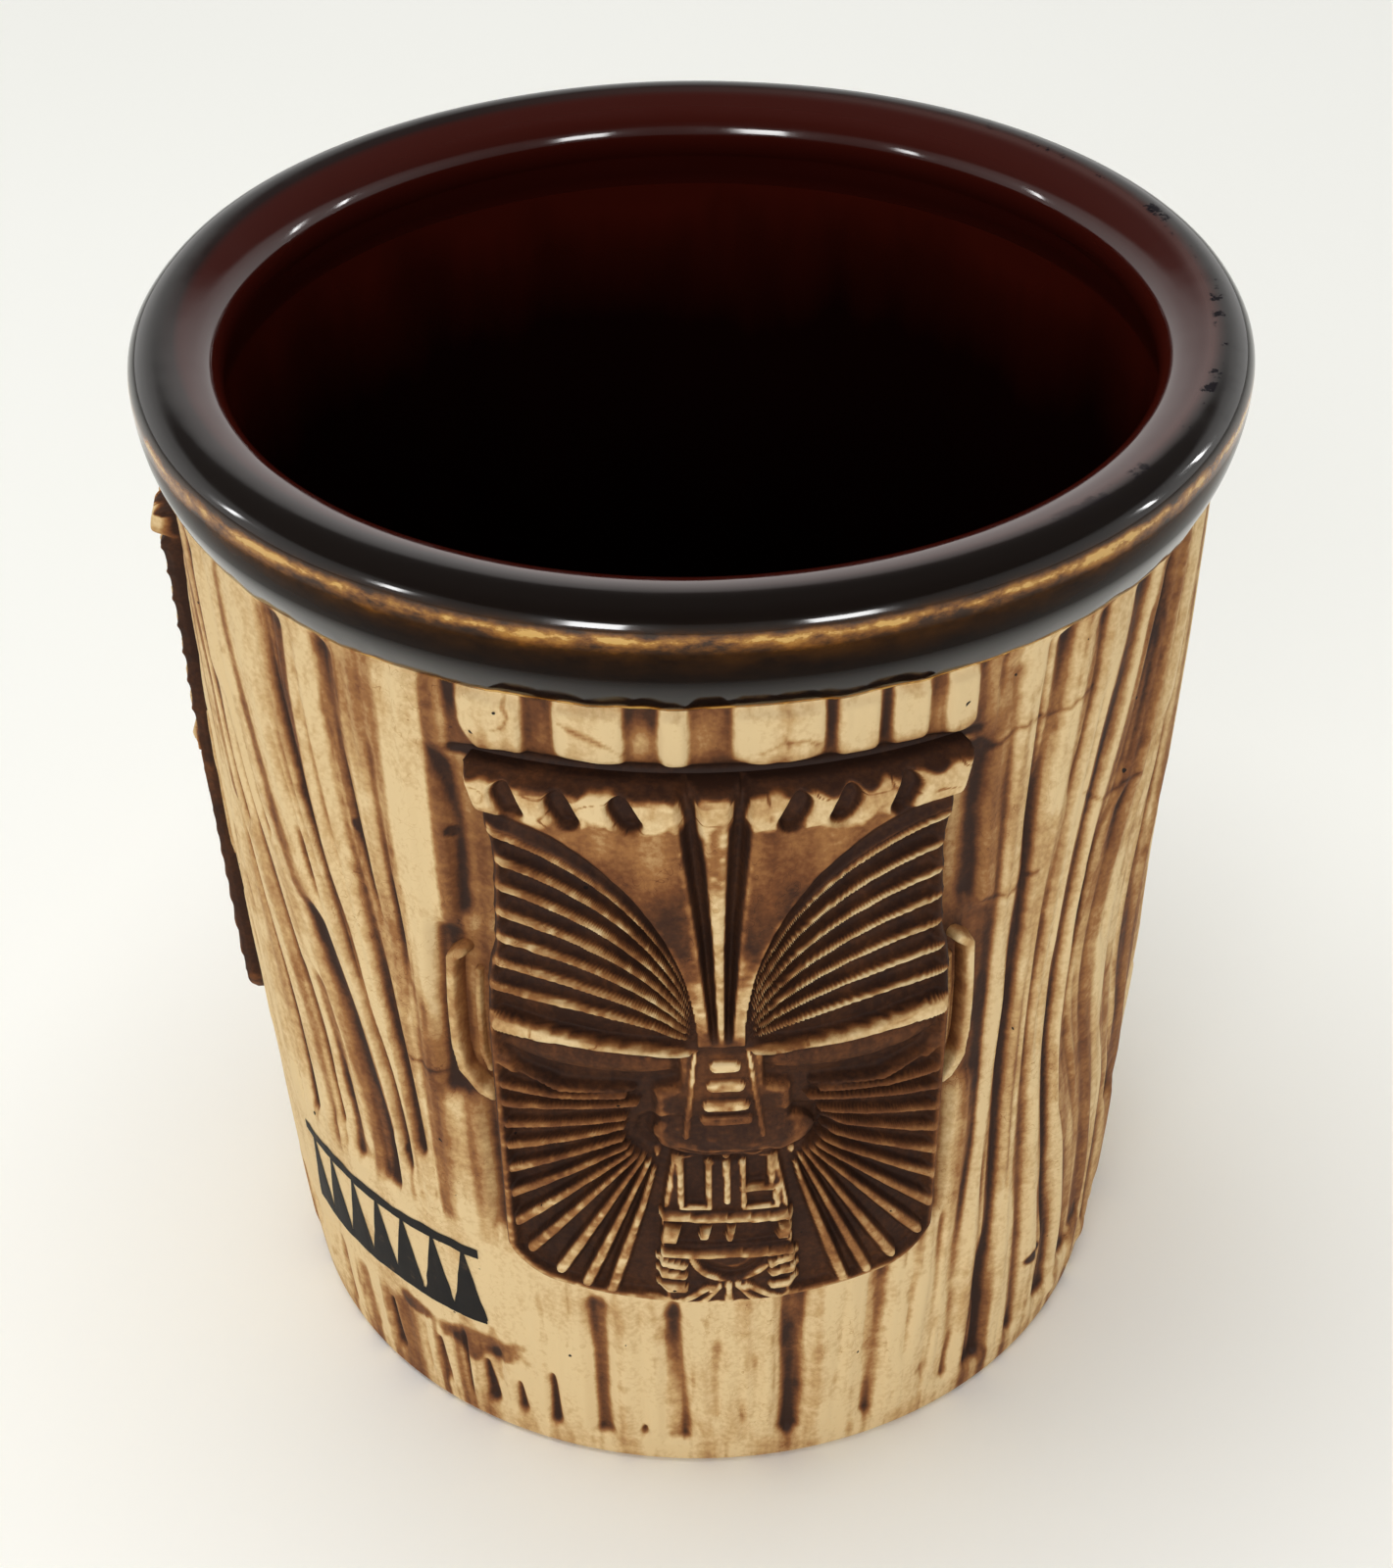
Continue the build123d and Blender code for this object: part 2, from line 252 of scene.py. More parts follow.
# Cuts below a mask: angle from its middle, upper end, lower end, width, depth, and the drop at the foot.
LOW_LINES = (
    (-15.3, 24, 3.2, 1.3, 0.75, 2.3), (-10.3, 24, 4, 0.6, 0.35, 0.8), (-5.9, 24, 3.2, 1.2, 0.75, 2.4),
    (-0.9, 19, 5.5, 0.6, 0.35, 0), (2.2, 15, 5, 0.6, 0.35, 0), (4.2, 17, 5, 0.6, 0.35, 0),
    (9.3, 26, 2.6, 1.3, 0.75, 1.6), (15.3, 21, 8, 0.6, 0.3, 0), (20.4, 26, 2.4, 1.2, 0.7, 1.5),
    (25.0, 22, 9, 0.6, 0.3, 0), (28.8, 30, 5, 0.7, 0.4, 0),
)
# Short wedges cut up from the foot, left of the first mask: angle and upper end.
FOOT_WEDGES = ((-49.0, 10.5), (-39.6, 10.0), (-32.4, 9.5), (-27.6, 8.0), (-22.4, 10.8))
BACK_WEDGES = range(150, 214, 7)          # round the back, each shifted a little at random
# Brown patches under the painted border: left and right angle, lower and upper end.
BROWN_PATCHES = ((-38.5, -26.5, 9.3, 13.6), (-46.5, -41.0, 10.8, 12.9))
# Plank ends above a mask: left and right angle, and how far the lower left and right corners are cut away.
PLANK_ENDS = (
    (-26.4, -19.0, 3.2, 0.3), (-16.4, -8.9, 0.9, 0.5), (-6.2, -2.7, 1.4, 0.2), (0.9, 10.6, 1.0, 0.9),
    (11.1, 16.1, 0.4, 0.3), (16.7, 21.3, 0.3, 1.2), (22.6, 26.8, 0.5, 0.8),
)
# Black specks in the clay: angle, height, and half their width and height.
SPECKS = (
    (-28.3, 71.9, 0.35, 0.4), (-41.5, 68.2, 0.5, 0.5), (-40.4, 32.7, 0.5, 0.5), (-44.8, 38.9, 0.35, 0.5),
    (47.8, 12.7, 1.3, 0.7), (-17.6, 87.0, 0.5, 0.3), (152.0, 61.0, 0.5, 0.5), (-158.0, 34.0, 0.6, 0.4),
)
# Hairline cracks: angles and heights along each.
CRACKS = (
    ((24.8, 79.2), (29.5, 77.9), (34, 78.5), (39, 77.7), (44, 78.3)),
    ((44.5, 67.8), (49.5, 65.0), (56, 64.7)),
    ((-15.6, 84.6), (-12.4, 83.6), (-9.4, 82.2)), ((-21.2, 86.4), (-20.4, 84.4), (-22.6, 83.2)),
    ((3.0, 82.6), (6.4, 83.4), (9.6, 82.8)), ((-38, 45.5), (-34, 44.9), (-31, 45.3)),
    ((30, 62.2), (34, 61.7), (38, 62.3)),
    ((130, 71), (137, 70.2), (143, 70.9)), ((-176, 50), (-170, 49.2), (-163, 49.8)),
)


def line_cut(away, z, high, low, width, depth):
    """Depth of a long groove at a distance from its middle: it wanders in width and fades at its ends."""
    swell = 1 + 0.35 * wobble(z / 7 + high, 0 * z + width)
    ends = plateau(z, low - 0.4, low + 1.6, high - 3.5, high + 0.4)
    half = 1.05 * width * swell * (0.35 + 0.65 * ends)
    return depth * ends * np.exp(-np.abs(away / half) ** 1.8)


def grain_veins(grain, z, spacing, length, width):
    """Thin lines that wander along the grain, join and part: 1 on them, 0 away from them."""
    return 1 - smooth(np.abs(wobble(grain / spacing, z / length)), 0, width)


def near(turn, z, angle, span):
    """The columns within span degrees of an angle, and their millimetres from it and heights."""
    columns = np.flatnonzero(np.abs(apart(turn[0], angle)) < span)
    heights = z[:, columns]
    return columns, arc_length(apart(turn[:, columns], angle), heights), heights


def raise_to(field, columns, value):
    """Lifts columns of a field to a value wherever they are lower."""
    field[:, columns] = np.maximum(field[:, columns], value)


def cut_grain(cut, turn, z, grain, lines, place, side):
    """Adds a panel's grain lines to the depth field; place and side map a line's angle to this panel."""
    for angle, high, low, width, depth in lines:
        start = place + side * angle
        columns, _, heights = near(turn, z, start, 26)
        away = arc_length(grain[:, columns] - start, heights)
        away = away + 0.25 * wobble(heights / 9 + angle, 0 * away)
        raise_to(cut, columns, line_cut(away, heights, high, low, width, depth))


def cut_below_mask(cut, turn, z, middle):
    """Adds the upright cuts below one mask, with the drops where the tool stopped."""
    jitter = 0 if middle == 0 else 1.2
    for angle, high, low, width, depth, drop in LOW_LINES:
        angle = angle + jitter * RANDOM.uniform(-1, 1)
        columns, away, heights = near(turn, z, middle + angle, 6)
        away = away + 0.18 * wobble(heights / 6 + angle, 0 * heights)
        raise_to(cut, columns, line_cut(away, heights, high, low, width, depth))
        if drop:
            half = 0.5 * drop * np.clip(1 - (heights - low - 0.6) / (1.6 * drop), 0.05, 1)
            foot = plateau(heights, low - 0.7, low + 0.3, low + drop, low + 1.8 * drop)
            raise_to(cut, columns, 0.7 * foot * np.exp(-np.abs(away / half) ** 3))


def foot_wedge(turn, z, angle, high):
    """A short cut, wide at the foot and pointed above."""
    away = arc_length(apart(turn, angle), z)
    half = 0.15 + 0.75 * np.clip((high - z) / (high - 2.5), 0, 1)
    share = plateau(z, 1.8, 3.2, high - 1, high)
    return 0.6 * share * np.exp(-np.abs(away / half) ** 2.5)


def plank_ends(away, z):
    """Height of the plank ends over a mask: flat blocks with rounded lower ends, set apart by recesses."""
    height = -0.12 + 0.1 * wobble(away / 1.6, z / 9)
    for left, right, left_cut, right_cut in PLANK_ENDS:
        middle, half = (left + right) / 2, (right - left) / 2
        share = np.clip((away - middle) / half, -1.5, 1.5)
        low = 80.6 + left_cut * np.clip(-share, 0, 2) ** 2.5 + right_cut * np.clip(share, 0, 2) ** 2.5
        low = low + 0.25 * wobble(away / 2, 0 * z)
        block = smooth(1 - np.abs(share), 0, 0.8 / half) * smooth(z, low, low + 0.8)
        face = 0.42 + 0.1 * wobble(away / 1.4, z / 5 + middle) + 0.05 * wobble(away / 0.8, z / 1.2)
        height = put(height, face, block)
    return height


def flaws(turn, z):
    """How much darker specks and hairline cracks make each place."""
    dark = np.zeros(z.shape)
    for angle, height, half_width, half_height in SPECKS:
        columns, away, heights = near(turn, z, angle, 4)
        spot = np.hypot(away / half_width, (heights - height) / half_height)
        raise_to(dark, columns, 1.2 * (1 - smooth(spot, 0.8, 1.2)))
    for points in CRACKS:
        start = points[0][0]
        columns, along, heights = near(turn, z, start, 22)
        path = [(np.radians(angle - start) * wall_radius(height), height) for angle, height in points]
        across = along + 0.3 * wobble(along / 0.9, heights / 0.9)
        crack = distance_to(path, across, heights + 0.35 * wobble(along / 0.8, heights / 3))
        raise_to(dark, columns, 0.55 * (1 - smooth(crack, 0.05, 0.2)))
    return dark


def carve_wall(turn, z, grain):
    """Depth of every groove and wedge cut into the wall."""
    cut = np.zeros(z.shape)
    cut_grain(cut, turn, z, grain, LEFT_LINES, 0, 1)
    cut_grain(cut, turn, z, grain, RIGHT_LINES, 0, 1)
    cut_grain(cut, turn, z, grain, RIGHT_LINES, BACK_START, -BACK_STRETCH)
    for middle in MASK_TURNS:
        cut_below_mask(cut, turn, z, middle)
    for angle, high in FOOT_WEDGES:
        cut = np.maximum(cut, foot_wedge(turn, z, angle, high))
    for angle in BACK_WEDGES:
        angle = angle + RANDOM.uniform(-2, 2)
        cut = np.maximum(cut, foot_wedge(turn, z, angle, RANDOM.uniform(7, 12)))
    return cut


def border_band(turn, z):
    """1 on the stretch that is smoothed flat to carry the painted border."""
    tall = plateau(z, BORDER_LOW - 4, BORDER_LOW - 2, BORDER_HIGH + 1.5, BORDER_HIGH + 4)
    return tall * plateau(turn, -92, -84, -30, -24)


def below_masks(turn, z):
    """1 on the calmer clay under the masks."""
    quiet = np.zeros(z.shape)
    for middle in MASK_TURNS:
        near = 1 - smooth(np.abs(apart(turn, middle)), 26, 31)
        quiet = np.maximum(quiet, near * (1 - smooth(z, 24, 28)))
    return quiet


def wood_texture(grain, z, quiet):
    """Low ridges, veins and threads that follow the grain."""
    veins = grain_veins(grain, z, 3.4, 42, 0.26) * smooth(wobble(grain / 5, z / 30), -0.3, 0.3)
    threads = grain_veins(grain, z, 1.5, 20, 0.3) * smooth(wobble(grain / 3, z / 15), -0.1, 0.5)
    broad = wobble(grain / 4.2, z / 70)
    medium = wobble(grain / 1.5, z / 24)
    fine = wobble(grain / 0.55, z / 9)
    veins, threads = veins * (1 - 0.7 * quiet), threads * (1 - 0.4 * quiet)
    return 0.24 * broad + 0.15 * medium + 0.06 * fine - 0.42 * veins - 0.22 * threads


def wood_stain(turn, z, grain, quiet, band, cut):
    """Brown wash that doesn't come from hollows: streaks, grooves, flaws and patches."""
    streaks = smooth(wobble(grain / 2.1, z / 38), 0.0, 0.75) * (1 - 0.5 * quiet)
    scratches = grain_veins(grain, z, 0.9, 12, 0.14) * smooth(wobble(grain / 3.5, z / 18), -0.1, 0.4)
    fine = 0.13 * wobble(grain / 1.1, z / 26) + 0.09 * wobble(grain / 0.6, z / 14)
    stain = 0.20 * smooth(cut, 0.25, 0.7) + (0.42 * streaks + fine + 0.24 * scratches) * (1 - 0.85 * band)
    stain += 0.12 * wobble(turn / 8, z / 12) + 0.07 * wobble(turn / 3, z / 0.7) - 0.10 * quiet
    stain += flaws(turn, z)
    stain += 0.14 * (1 - smooth(z, 1, 5)) + 0.12 * band * smooth(wobble(turn / 7, z / 2.2), 0, 1)
    for left, right, low, high in BROWN_PATCHES:
        patch_u = (turn - (left + right) / 2) / (right - left) * 2
        patch_v = (z - (low + high) / 2) / (high - low) * 2
        edge = np.hypot(patch_u, patch_v) + 0.35 * wobble(turn / 1.6, z / 1.3)
        stain += 0.62 * (1 - smooth(edge, 0.75, 1.25))
    return stain


def round_mask(relief, stain, turn, z, middle):
    """Lowers and darkens the wall beside a mask and its ears."""
    v = z - MASK_LOW
    outside = outside_plate(arc_length(apart(turn, middle), z), v)
    beside = plateau(v, 1, 6, MASK_TALL - 2, MASK_TALL + 0.5)
    moat = (1 - smooth(outside + 0.5 * wobble(z / 9, middle + 0 * z), 1.2, 2.8)) * beside
    relief = put(relief, -0.4, moat)
    ear_bed = plateau(v, EAR_LOW - 1.6, EAR_LOW + 0.4, EAR_HIGH - 0.2, EAR_HIGH + 2.2)
    ear_bed = ear_bed * (1 - smooth(outside, EAR_OUTER - 0.2, EAR_OUTER + 1.4))
    relief = put(relief, -0.45, ear_bed)
    temple = plateau(v, 36, 40, 53, 57) * (1 - smooth(outside, 3.4, 4.8))
    relief = put(relief, -0.6, temple)
    return relief, stain + 0.34 * np.maximum(moat, temple) + 0.22 * ear_bed


def over_mask(relief, stain, turn, z, middle):
    """Puts the plank ends over a mask, with the dark gutter under them."""
    away = apart(turn, middle)
    over = smooth(z, MASK_HIGH - 0.6, MASK_HIGH + 0.2) * (1 - smooth(np.abs(away), 27, 28.5))
    planks = plank_ends(away, z)
    relief = put(relief, planks, over)
    crazed = 0.3 * (1 - smooth(np.abs(wobble(away / 2.6, z / 1.8)), 0, 0.06))
    crazed = crazed * smooth(wobble(away / 3, z / 3), 0, 0.3)
    tint = 0.14 * wobble(away / 1.3, z / 4) + 0.2 * wobble(away / 3.2, z / 2.6)
    tint = tint + crazed + 0.12 * smooth(z, 84.5, 87.5) + flaws(turn, z) * (middle == 0)
    stain = put(stain, 0.42 - 0.50 * smooth(planks, 0.0, 0.3) + tint, over)
    taper = 0.9 * np.clip((28.7 - np.abs(away + 0.8)) / 8, 0, 1)
    gutter = over * (1 - smooth(z, MASK_HIGH + taper - 0.2, MASK_HIGH + taper + 0.5))
    relief = put(relief, -1.0, gutter)
    return relief, stain + 0.3 * over * (1 - smooth(z, 81, 83.5)) + 0.9 * gutter


def hollow(field, spread):
    """How far each place of the wall lies below its surroundings, within a spread in millimetres."""
    column_step = 2 * math.pi * SHOULDER_RADIUS / WALL_COLUMNS
    return blurred(field, spread / WALL_STEP, spread / column_step, True) - field


def wall_fields():
    """Turn, height and relief of the outer wall, and how much brown wash it holds, as fields."""
    rows = int(round((SHOULDER + 0.4) / WALL_STEP)) + 1
    turns = np.arange(WALL_COLUMNS) * 360 / WALL_COLUMNS - 180
    turn, z = np.meshgrid(turns, np.linspace(0, SHOULDER + 0.4, rows))
    grain = grain_angle(turn, z)
    band = border_band(turn, z)
    quiet = below_masks(turn, z)
    cut = carve_wall(turn, z, grain) * (1 - band)
    texture = wood_texture(grain, z, quiet)
    barrel = 0.5 * np.sin(np.pi * z / SHOULDER) - 0.4 * np.exp(-z / 5)
    relief = put(barrel - 0.08, barrel + texture * (1 - 0.85 * band) - cut, smooth(z, 2.2, 4.0))
    stain = wood_stain(turn, z, grain, quiet, band, cut)
    for middle in MASK_TURNS:
        relief, stain = round_mask(relief, stain, turn, z, middle)
        relief, stain = over_mask(relief, stain, turn, z, middle)
    relief = blurred(relief, 0.8, 0.9, True)
    held = 0.40 * smooth(hollow(relief, 0.7), 0.0, 0.3) + 0.50 * smooth(hollow(relief, 2.0), 0.03, 0.55)
    wash = held + stain + 0.01 - 0.08 * band
    for middle in MASK_TURNS:
        outside = outside_plate(arc_length(apart(turn, middle), z), z - MASK_LOW)
        relief = put(relief, -2.1, 1 - smooth(outside, -0.9, -0.5))
    relief = put(relief, -0.05, smooth(z, SHOULDER - 1.2, SHOULDER - 0.1))
    return turn, z, relief, np.clip(blurred(wash, 0.6, 0.6, True), 0, 1)


# ---- the mask's relief ----
def brow_lines(a, v):
    """How many ribs up from the eyes a place lies, and a rib's width there as a share of its widest."""
    side = np.clip((a - 1.7) / 16.2, 0, 1)
    gather = 1 - (1 - side) ** 2 + 1e-4
    rise = np.clip(v - 30.3, 0, None)
    power = 0.57
    for _ in range(3):
        lift = rise / gather**power
        power = curve(lift, (2, 0.65), (20, 0.5))
    return (lift - 1.8) / 2.66, gather**power


def brow(height, u, a, v):
    """The forehead: smooth panels above, fluted fans below, with broader ribs on the left."""
    count, room = brow_lines(a, v)
    away = np.abs(2 * (count % 1) - 1)
    sharp = np.where(u < 0, 2.4, 4.0)
    rib = np.minimum(1.2 * away**sharp, 1) * smooth(count, 0.4, 0.6)
    flutes = 1.35 + 1.4 * put(0.45, rib, smooth(room, 0.1, 0.35))
    fan = smooth(v, 30.2, 30.8) * (1 - smooth(count, 7.05, 7.15))
    panel = 2.55 - 0.8 * bell(count, 7.5, 0.3)
    above = smooth(v, 30.2, 30.8) * smooth(count, 7.05, 7.15)
    height = put(height, panel, above)
    return put(height, flutes, fan)


def to_notches(u, a, v):
    """Distance to the nearest of the slanted notches in the strip along the top."""
    nearest = np.full(v.shape, 9.0)
    for left, right in ((6.2, 5.6), (10.6, 9.2), (14.6, 13.6)):
        middle = np.where(u < 0, left, right)
        nearest = np.minimum(nearest, distance_to([(-0.4, 52.9), (0.4, 54.2)], a - middle, v))
    return nearest


def forehead_top(height, u, a, v):
    """The strip along the top with its slanted notches, and the two grooves down the middle."""
    ragged = 0.55 + 0.45 * wobble(u / 1.3, 0 * v)
    height = put(height, 2.8 - 0.8 * smooth(v, 53, 56), smooth(v, 52.0, 52.9))
    height = height - 0.6 * (1 - smooth(MASK_TALL - v, 0.05, 0.1 + ragged))
    height = height - 1.3 * (1 - smooth(to_notches(u, a, v), 0.45, 1.15))
    groove = curve(v, (31, 0.5), (42, 0.95), (56, 1.95))
    half = curve(v, (31, 0.25), (44, 0.5), (56, 0.74))
    inside = smooth(v, 30.6, 32.5)
    height = put(height, 2.7, inside * (1 - smooth(a, groove - 0.1, groove + 0.1)))
    return height - 1.45 * inside * np.exp(-np.abs((a - groove) / half) ** 3)


def ledge_and_eyes(height, a, v):
    """The brow's lower edge, standing out over the closed eyes."""
    low = curve(a, (0, 29.9), (18, 30.7))
    high = curve(a, (0, 30.0), (6, 30.5), (12, 31.2), (18, 32.2))
    socket_low = curve(a, (3.5, 25.9), (6, 25.2), (12, 24.9), (15.5, 25.7), (17.6, 28.5))
    socket = (1 - smooth(v, low - 0.1, low)) * smooth(v, socket_low - 0.5, socket_low + 0.5)
    socket = socket * smooth(a, 2.8, 3.4)
    height = put(height, 0.95, socket * (1 - smooth(a, 16.9, 17.4)))
    lens = np.hypot((a - 10.4) / 7.3, (v - curve(a, (3, 27.6), (18, 28.3))) / 1.45)
    height = height + 0.95 * np.sqrt(np.clip(1 - lens**2, 0, 1)) * socket
    ledge = plateau(v, low - 0.12, low, high - 0.25, high + 0.1)
    bevel = 3.15 - 0.4 * np.clip((v - low) / (high - low), 0, 1)
    return put(height, bevel, ledge * (1 - smooth(a, 17.4, 17.8)))


# Rays of a cheek from beside the nose outwards, as places right of the middle and up.
CHEEK_RAYS = (
    ((6.8, 25.2), (12.2, 24.6), (17.4, 26.4)), ((7.4, 24.7), (12.3, 23.8), (17.7, 23.6)),
    ((6.5, 24.0), (12.0, 22.7), (17.7, 21.4)), ((7.4, 22.3), (17.7, 18.9)), ((7.6, 21.2), (17.7, 16.3)),
    ((7.7, 19.9), (17.4, 13.7)), ((7.4, 19.0), (17.2, 10.8)), ((7.1, 18.4), (16.6, 7.8)),
    ((6.7, 18.0), (15.6, 4.9)), ((6.3, 17.6), (13.3, 3.0)), ((5.9, 17.0), (11.2, 1.9)),
    ((5.4, 16.0), (9.3, 1.2)),
)


def cheeks(height, a, v):
    """Rays from beside the nose to the plate's edge, with hollows between them."""
    within = smooth(-outside_plate(a, v), 0.4, 1.0)
    share = (1 - smooth(v, 25.5, 27.5)) * smooth(a, 4.6, 5.6) * within
    reach = np.hypot(a - 6.5, v - 21.1)
    height = put(height, 1.3, share)
    for ray in CHEEK_RAYS:
        away = distance_to(ray, a, v)
        half = curve(reach, (0, 0.26), (8, 0.34), (16, 0.62))
        rib = np.clip(1.25 - (away / half) ** 1.5, 0, 1)
        height = np.maximum(height, put(height, 2.45, rib * share))
    return height


def nose(height, u, a, v):
    """A bridge with cross bars, and a broad oval tip."""
    half = curve(v, (21, 3.1), (30, 2.2))
    share = smooth(half - a, -0.15, 0.15) * plateau(v, 20.5, 21, 29.9, 30.3)
    height = put(height, curve(v, (21, 2.7), (30, 2.0)), share)
    height = height + 0.35 * bell(a, half - 0.25, 0.25) * share
    for level, reach in ((28.4, 0.7), (26.4, 1.0), (24.4, 1.3), (22.9, 1.5)):
        bar = stroke([(0.2 - reach, level), (0.2 + reach, level)], 1.1, u, v)
        height = height + 0.55 * smooth(bar, 0.1, 0.6)
    tip = np.hypot((u - 0.8) / 6.2, (v - 20.4) / 2.5)
    height = height - 0.7 * bell(tip, 1.13, 0.12) * (1 - smooth(v, 21.5, 23.5))
    dome = 1.5 + 1.5 * np.sqrt(np.clip(1 - tip**2, 0, 1)) + 0.18 * wobble(u / 1.1, v / 0.8)
    height = np.where(tip < 1, np.maximum(height, dome), height)
    return height - 0.35 * stroke([(-3.2, 19.2), (-1.0, 18.9), (3.4, 18.9)], 0.5, u, v)


# Sunken panels in the column under the nose: left, right, lower and upper edge.
COLUMN_PANELS = ((-3.2, -1.5, 12.2, 17.6), (1.6, 3.7, 12.0, 13.9), (1.6, 3.3, 14.4, 17.4))
# Teeth: middle, width, lower and upper end; they lean a little.
TEETH = ((-4.3, 1.3, 8.0, 9.7), (-1.7, 0.8, 8.5, 9.5), (0.3, 0.6, 8.3, 9.5), (4.5, 1.0, 8.1, 9.5))
TOOTH_LEAN = 0.2


def muzzle(height, u, a, v):
    """The column under the nose, the mouth with its teeth and tongue, and the chin."""
    half = curve(v, (0, 5.5), (10, 5.0), (19, 3.7))
    column = smooth(half - a, -0.2, 0.2) * (1 - smooth(v, 18.3, 18.8)) * smooth(v, 2.6, 3.0)
    height = put(height, 2.0, column)
    trench = np.exp(-(((a - half - 0.7) / 0.6) ** 4)) * (1 - smooth(v, 18, 19)) * smooth(v, 1, 2)
    height = put(height, 1.25, trench)
    for left, right, low, high in COLUMN_PANELS:
        inside = np.minimum(np.minimum(u - left, right - u), np.minimum(v - low, high - v))
        height = height - 0.5 * smooth(inside, -0.1, 0.25) + 0.3 * bell(inside, -0.25, 0.22) * column
    height = height + 0.5 * stroke([(0.1, 12.8), (0.1, 18.0)], 0.7, u, v)
    for level, bow in ((11.0, 0.25), (6.7, 0.15)):
        bar = stroke([(-5.0, level + bow), (0, level), (5.0, level - bow)], 0.55, u, v)
        height = height + 0.85 * smooth(bar, 0, 0.5)
    mouth = plateau(v, 7.2, 7.5, 10.2, 10.5) * smooth(half - a, 0, 0.3)
    height = put(height, 1.55, mouth)
    for middle, width, low, high in TEETH:
        away = np.abs(u - middle - TOOTH_LEAN * (v - 9))
        inside = np.minimum(width / 2 - away, np.minimum(v - low, high - v))
        height = put(height, 2.65, smooth(inside, -0.12, 0.15))
    tongue = np.hypot(u - 0.3, v - 6.3) / 2.9
    below = 1 - smooth(v, 6.2, 6.4)
    height = put(height, 1.5 + 0.5 * smooth(1 - tongue, 0, 0.5), below * smooth(1 - tongue, 0, 0.1))
    height = height + 0.3 * bell(tongue, 1.12, 0.09) * below
    for level, tilt in ((5.6, 0.5), (4.2, 0.3), (2.6, 0.1)):
        height = height + 0.6 * smooth(stroke([(3.5, level - tilt), (5.4, level)], 0.85, a, v), 0, 0.6)
    for foot in (0.0, 2.2, 4.0):
        height = height + 0.55 * stroke([(0.35 * foot, 2.7), (foot, 0.5)], 0.9, a, v)
    return height


def upright(u, v):
    """Places across the mask measured from its features' middle line, which leans a little."""
    return u + 0.018 * (v - 27)


def mask_relief(u, v, edge_width):
    """Height of the carving over the wall at places of the mask; it levels out along the plate's edge."""
    straight = upright(u, v)
    a = np.abs(straight)
    height = np.full(u.shape, 2.2)
    height = cheeks(height, a, v)
    height = brow(height, straight, a, v)
    height = forehead_top(height, straight, a, v)
    height = ledge_and_eyes(height, a, v)
    height = muzzle(height, straight, a, v)
    height = nose(height, straight, a, v)
    height = height + 0.06 * wobble(u / 1.3, v / 1.1) + 0.03 * wobble(u / 0.5, v / 0.5)
    inward = -outside_plate(u, v)
    edge = (1 - smooth(inward, 0.3 * edge_width, edge_width)) * (1 - smooth(v, 51, 52))
    height = put(height, 2.35, 0.85 * edge)
    return height - 0.8 * (1 - smooth(inward, -0.1, 0.8)) ** 2


def mask_wash(u, v, height, column_mm, row_mm):
    """Brown wash on the mask: nearly everywhere, worn off the ridges and off the strip along the top."""
    stand = height - blurred(height, 0.9 / row_mm, 0.9 / column_mm, False)
    fine = height - blurred(height, 0.4 / row_mm, 0.4 / column_mm, False)
    patchy = 0.5 + 0.5 * wobble(u / 2.3, v / 1.7)
    flecks = 0.5 + 0.5 * wobble(u / 0.55, v / 0.45)
    high = smooth(v, 28, 34) * curve(u, (-6, 0.85), (6, 1.45))
    low = (1 - smooth(v, 28, 34)) * curve(v, (2, 0.9), (14, 0.72), (22, 0.42))
    crest = curve(u, (-5, 1.9), (5, 2.15)) * smooth(v, 28, 34) + 1.8 * smooth(v, 34, 28)
    worn = smooth(stand, 0.12, 0.5) * smooth(height, crest, crest + 0.5) * (high + low)
    speckle = curve(u, (-5, 0.55), (5, 0.2))
    worn = worn * (0.5 + 0.35 * patchy + speckle * flecks**2)
    centre = smooth(np.abs(u), 6.6, 5.8) * smooth(v, 30.5, 29.5)
    on_nose = smooth(v, 17.5, 18.5) * (1 - smooth(v, 23.8, 24.2) * smooth(np.abs(u), 2.6, 2.2))
    outlines = smooth(fine, 0.03, 0.13) * centre * (1 - 0.6 * on_nose) * (0.3 + 0.4 * patchy + 0.6 * flecks)
    crack = 1 - smooth(np.abs(wobble(u / 2.6, v / 1.1)), 0, 0.07)
    straight = upright(u, v)
    outside_notches = smooth(to_notches(straight, np.abs(straight), v), 0.72, 0.95)
    off_edge = smooth(MASK_TALL - v + 0.35 * wobble(u / 1.3, 0 * v), 0.4, 0.8)
    off_grooves = smooth(height, 1.45, 1.8)
    strip = smooth(v + 0.8 * wobble(u / 1.6, 0 * v), 51.6, 53.0) * outside_notches * off_edge
    strip = strip * np.maximum(off_grooves, smooth(np.abs(u), 3.0, 3.6))
    strip = strip * (0.78 + 0.3 * patchy) * (1 - 0.75 * crack)
    faint = 0.42 + 0.2 * wobble(u / 1.2, v / 3) + 0.12 * flecks
    panel = smooth(v, 38, 51) * smooth(height, 2.2, 2.5) * faint
    ledge = smooth(height, 2.5, 2.9) * plateau(v, 29.5, 30.0, 32.6, 33.1)
    ledge = ledge * (0.7 + 0.35 * patchy) * (1 - 0.7 * crack)
    eye = 0.15 * smooth(height, 1.3, 1.7) * smooth(v, 24.6, 25.4) * smooth(v, 29.8, 29.2)
    lower_rim = (1 - smooth(-outside_plate(u, v), 0.25, 0.6)) * (1 - smooth(v, 3, 8))
    lower_rim = 0.5 * lower_rim * (0.4 + 0.8 * flecks)
    worn = np.maximum.reduce((worn, outlines, strip, panel, ledge, eye, lower_rim))
    return np.clip(0.92 - 0.92 * worn, 0, 1)


# ---- meshes ----
def placed(name, data):
    """A new object in the scene, made of the data given."""
    thing = bpy.data.objects.new(name, data)
    bpy.context.scene.collection.objects.link(thing)
    return thing


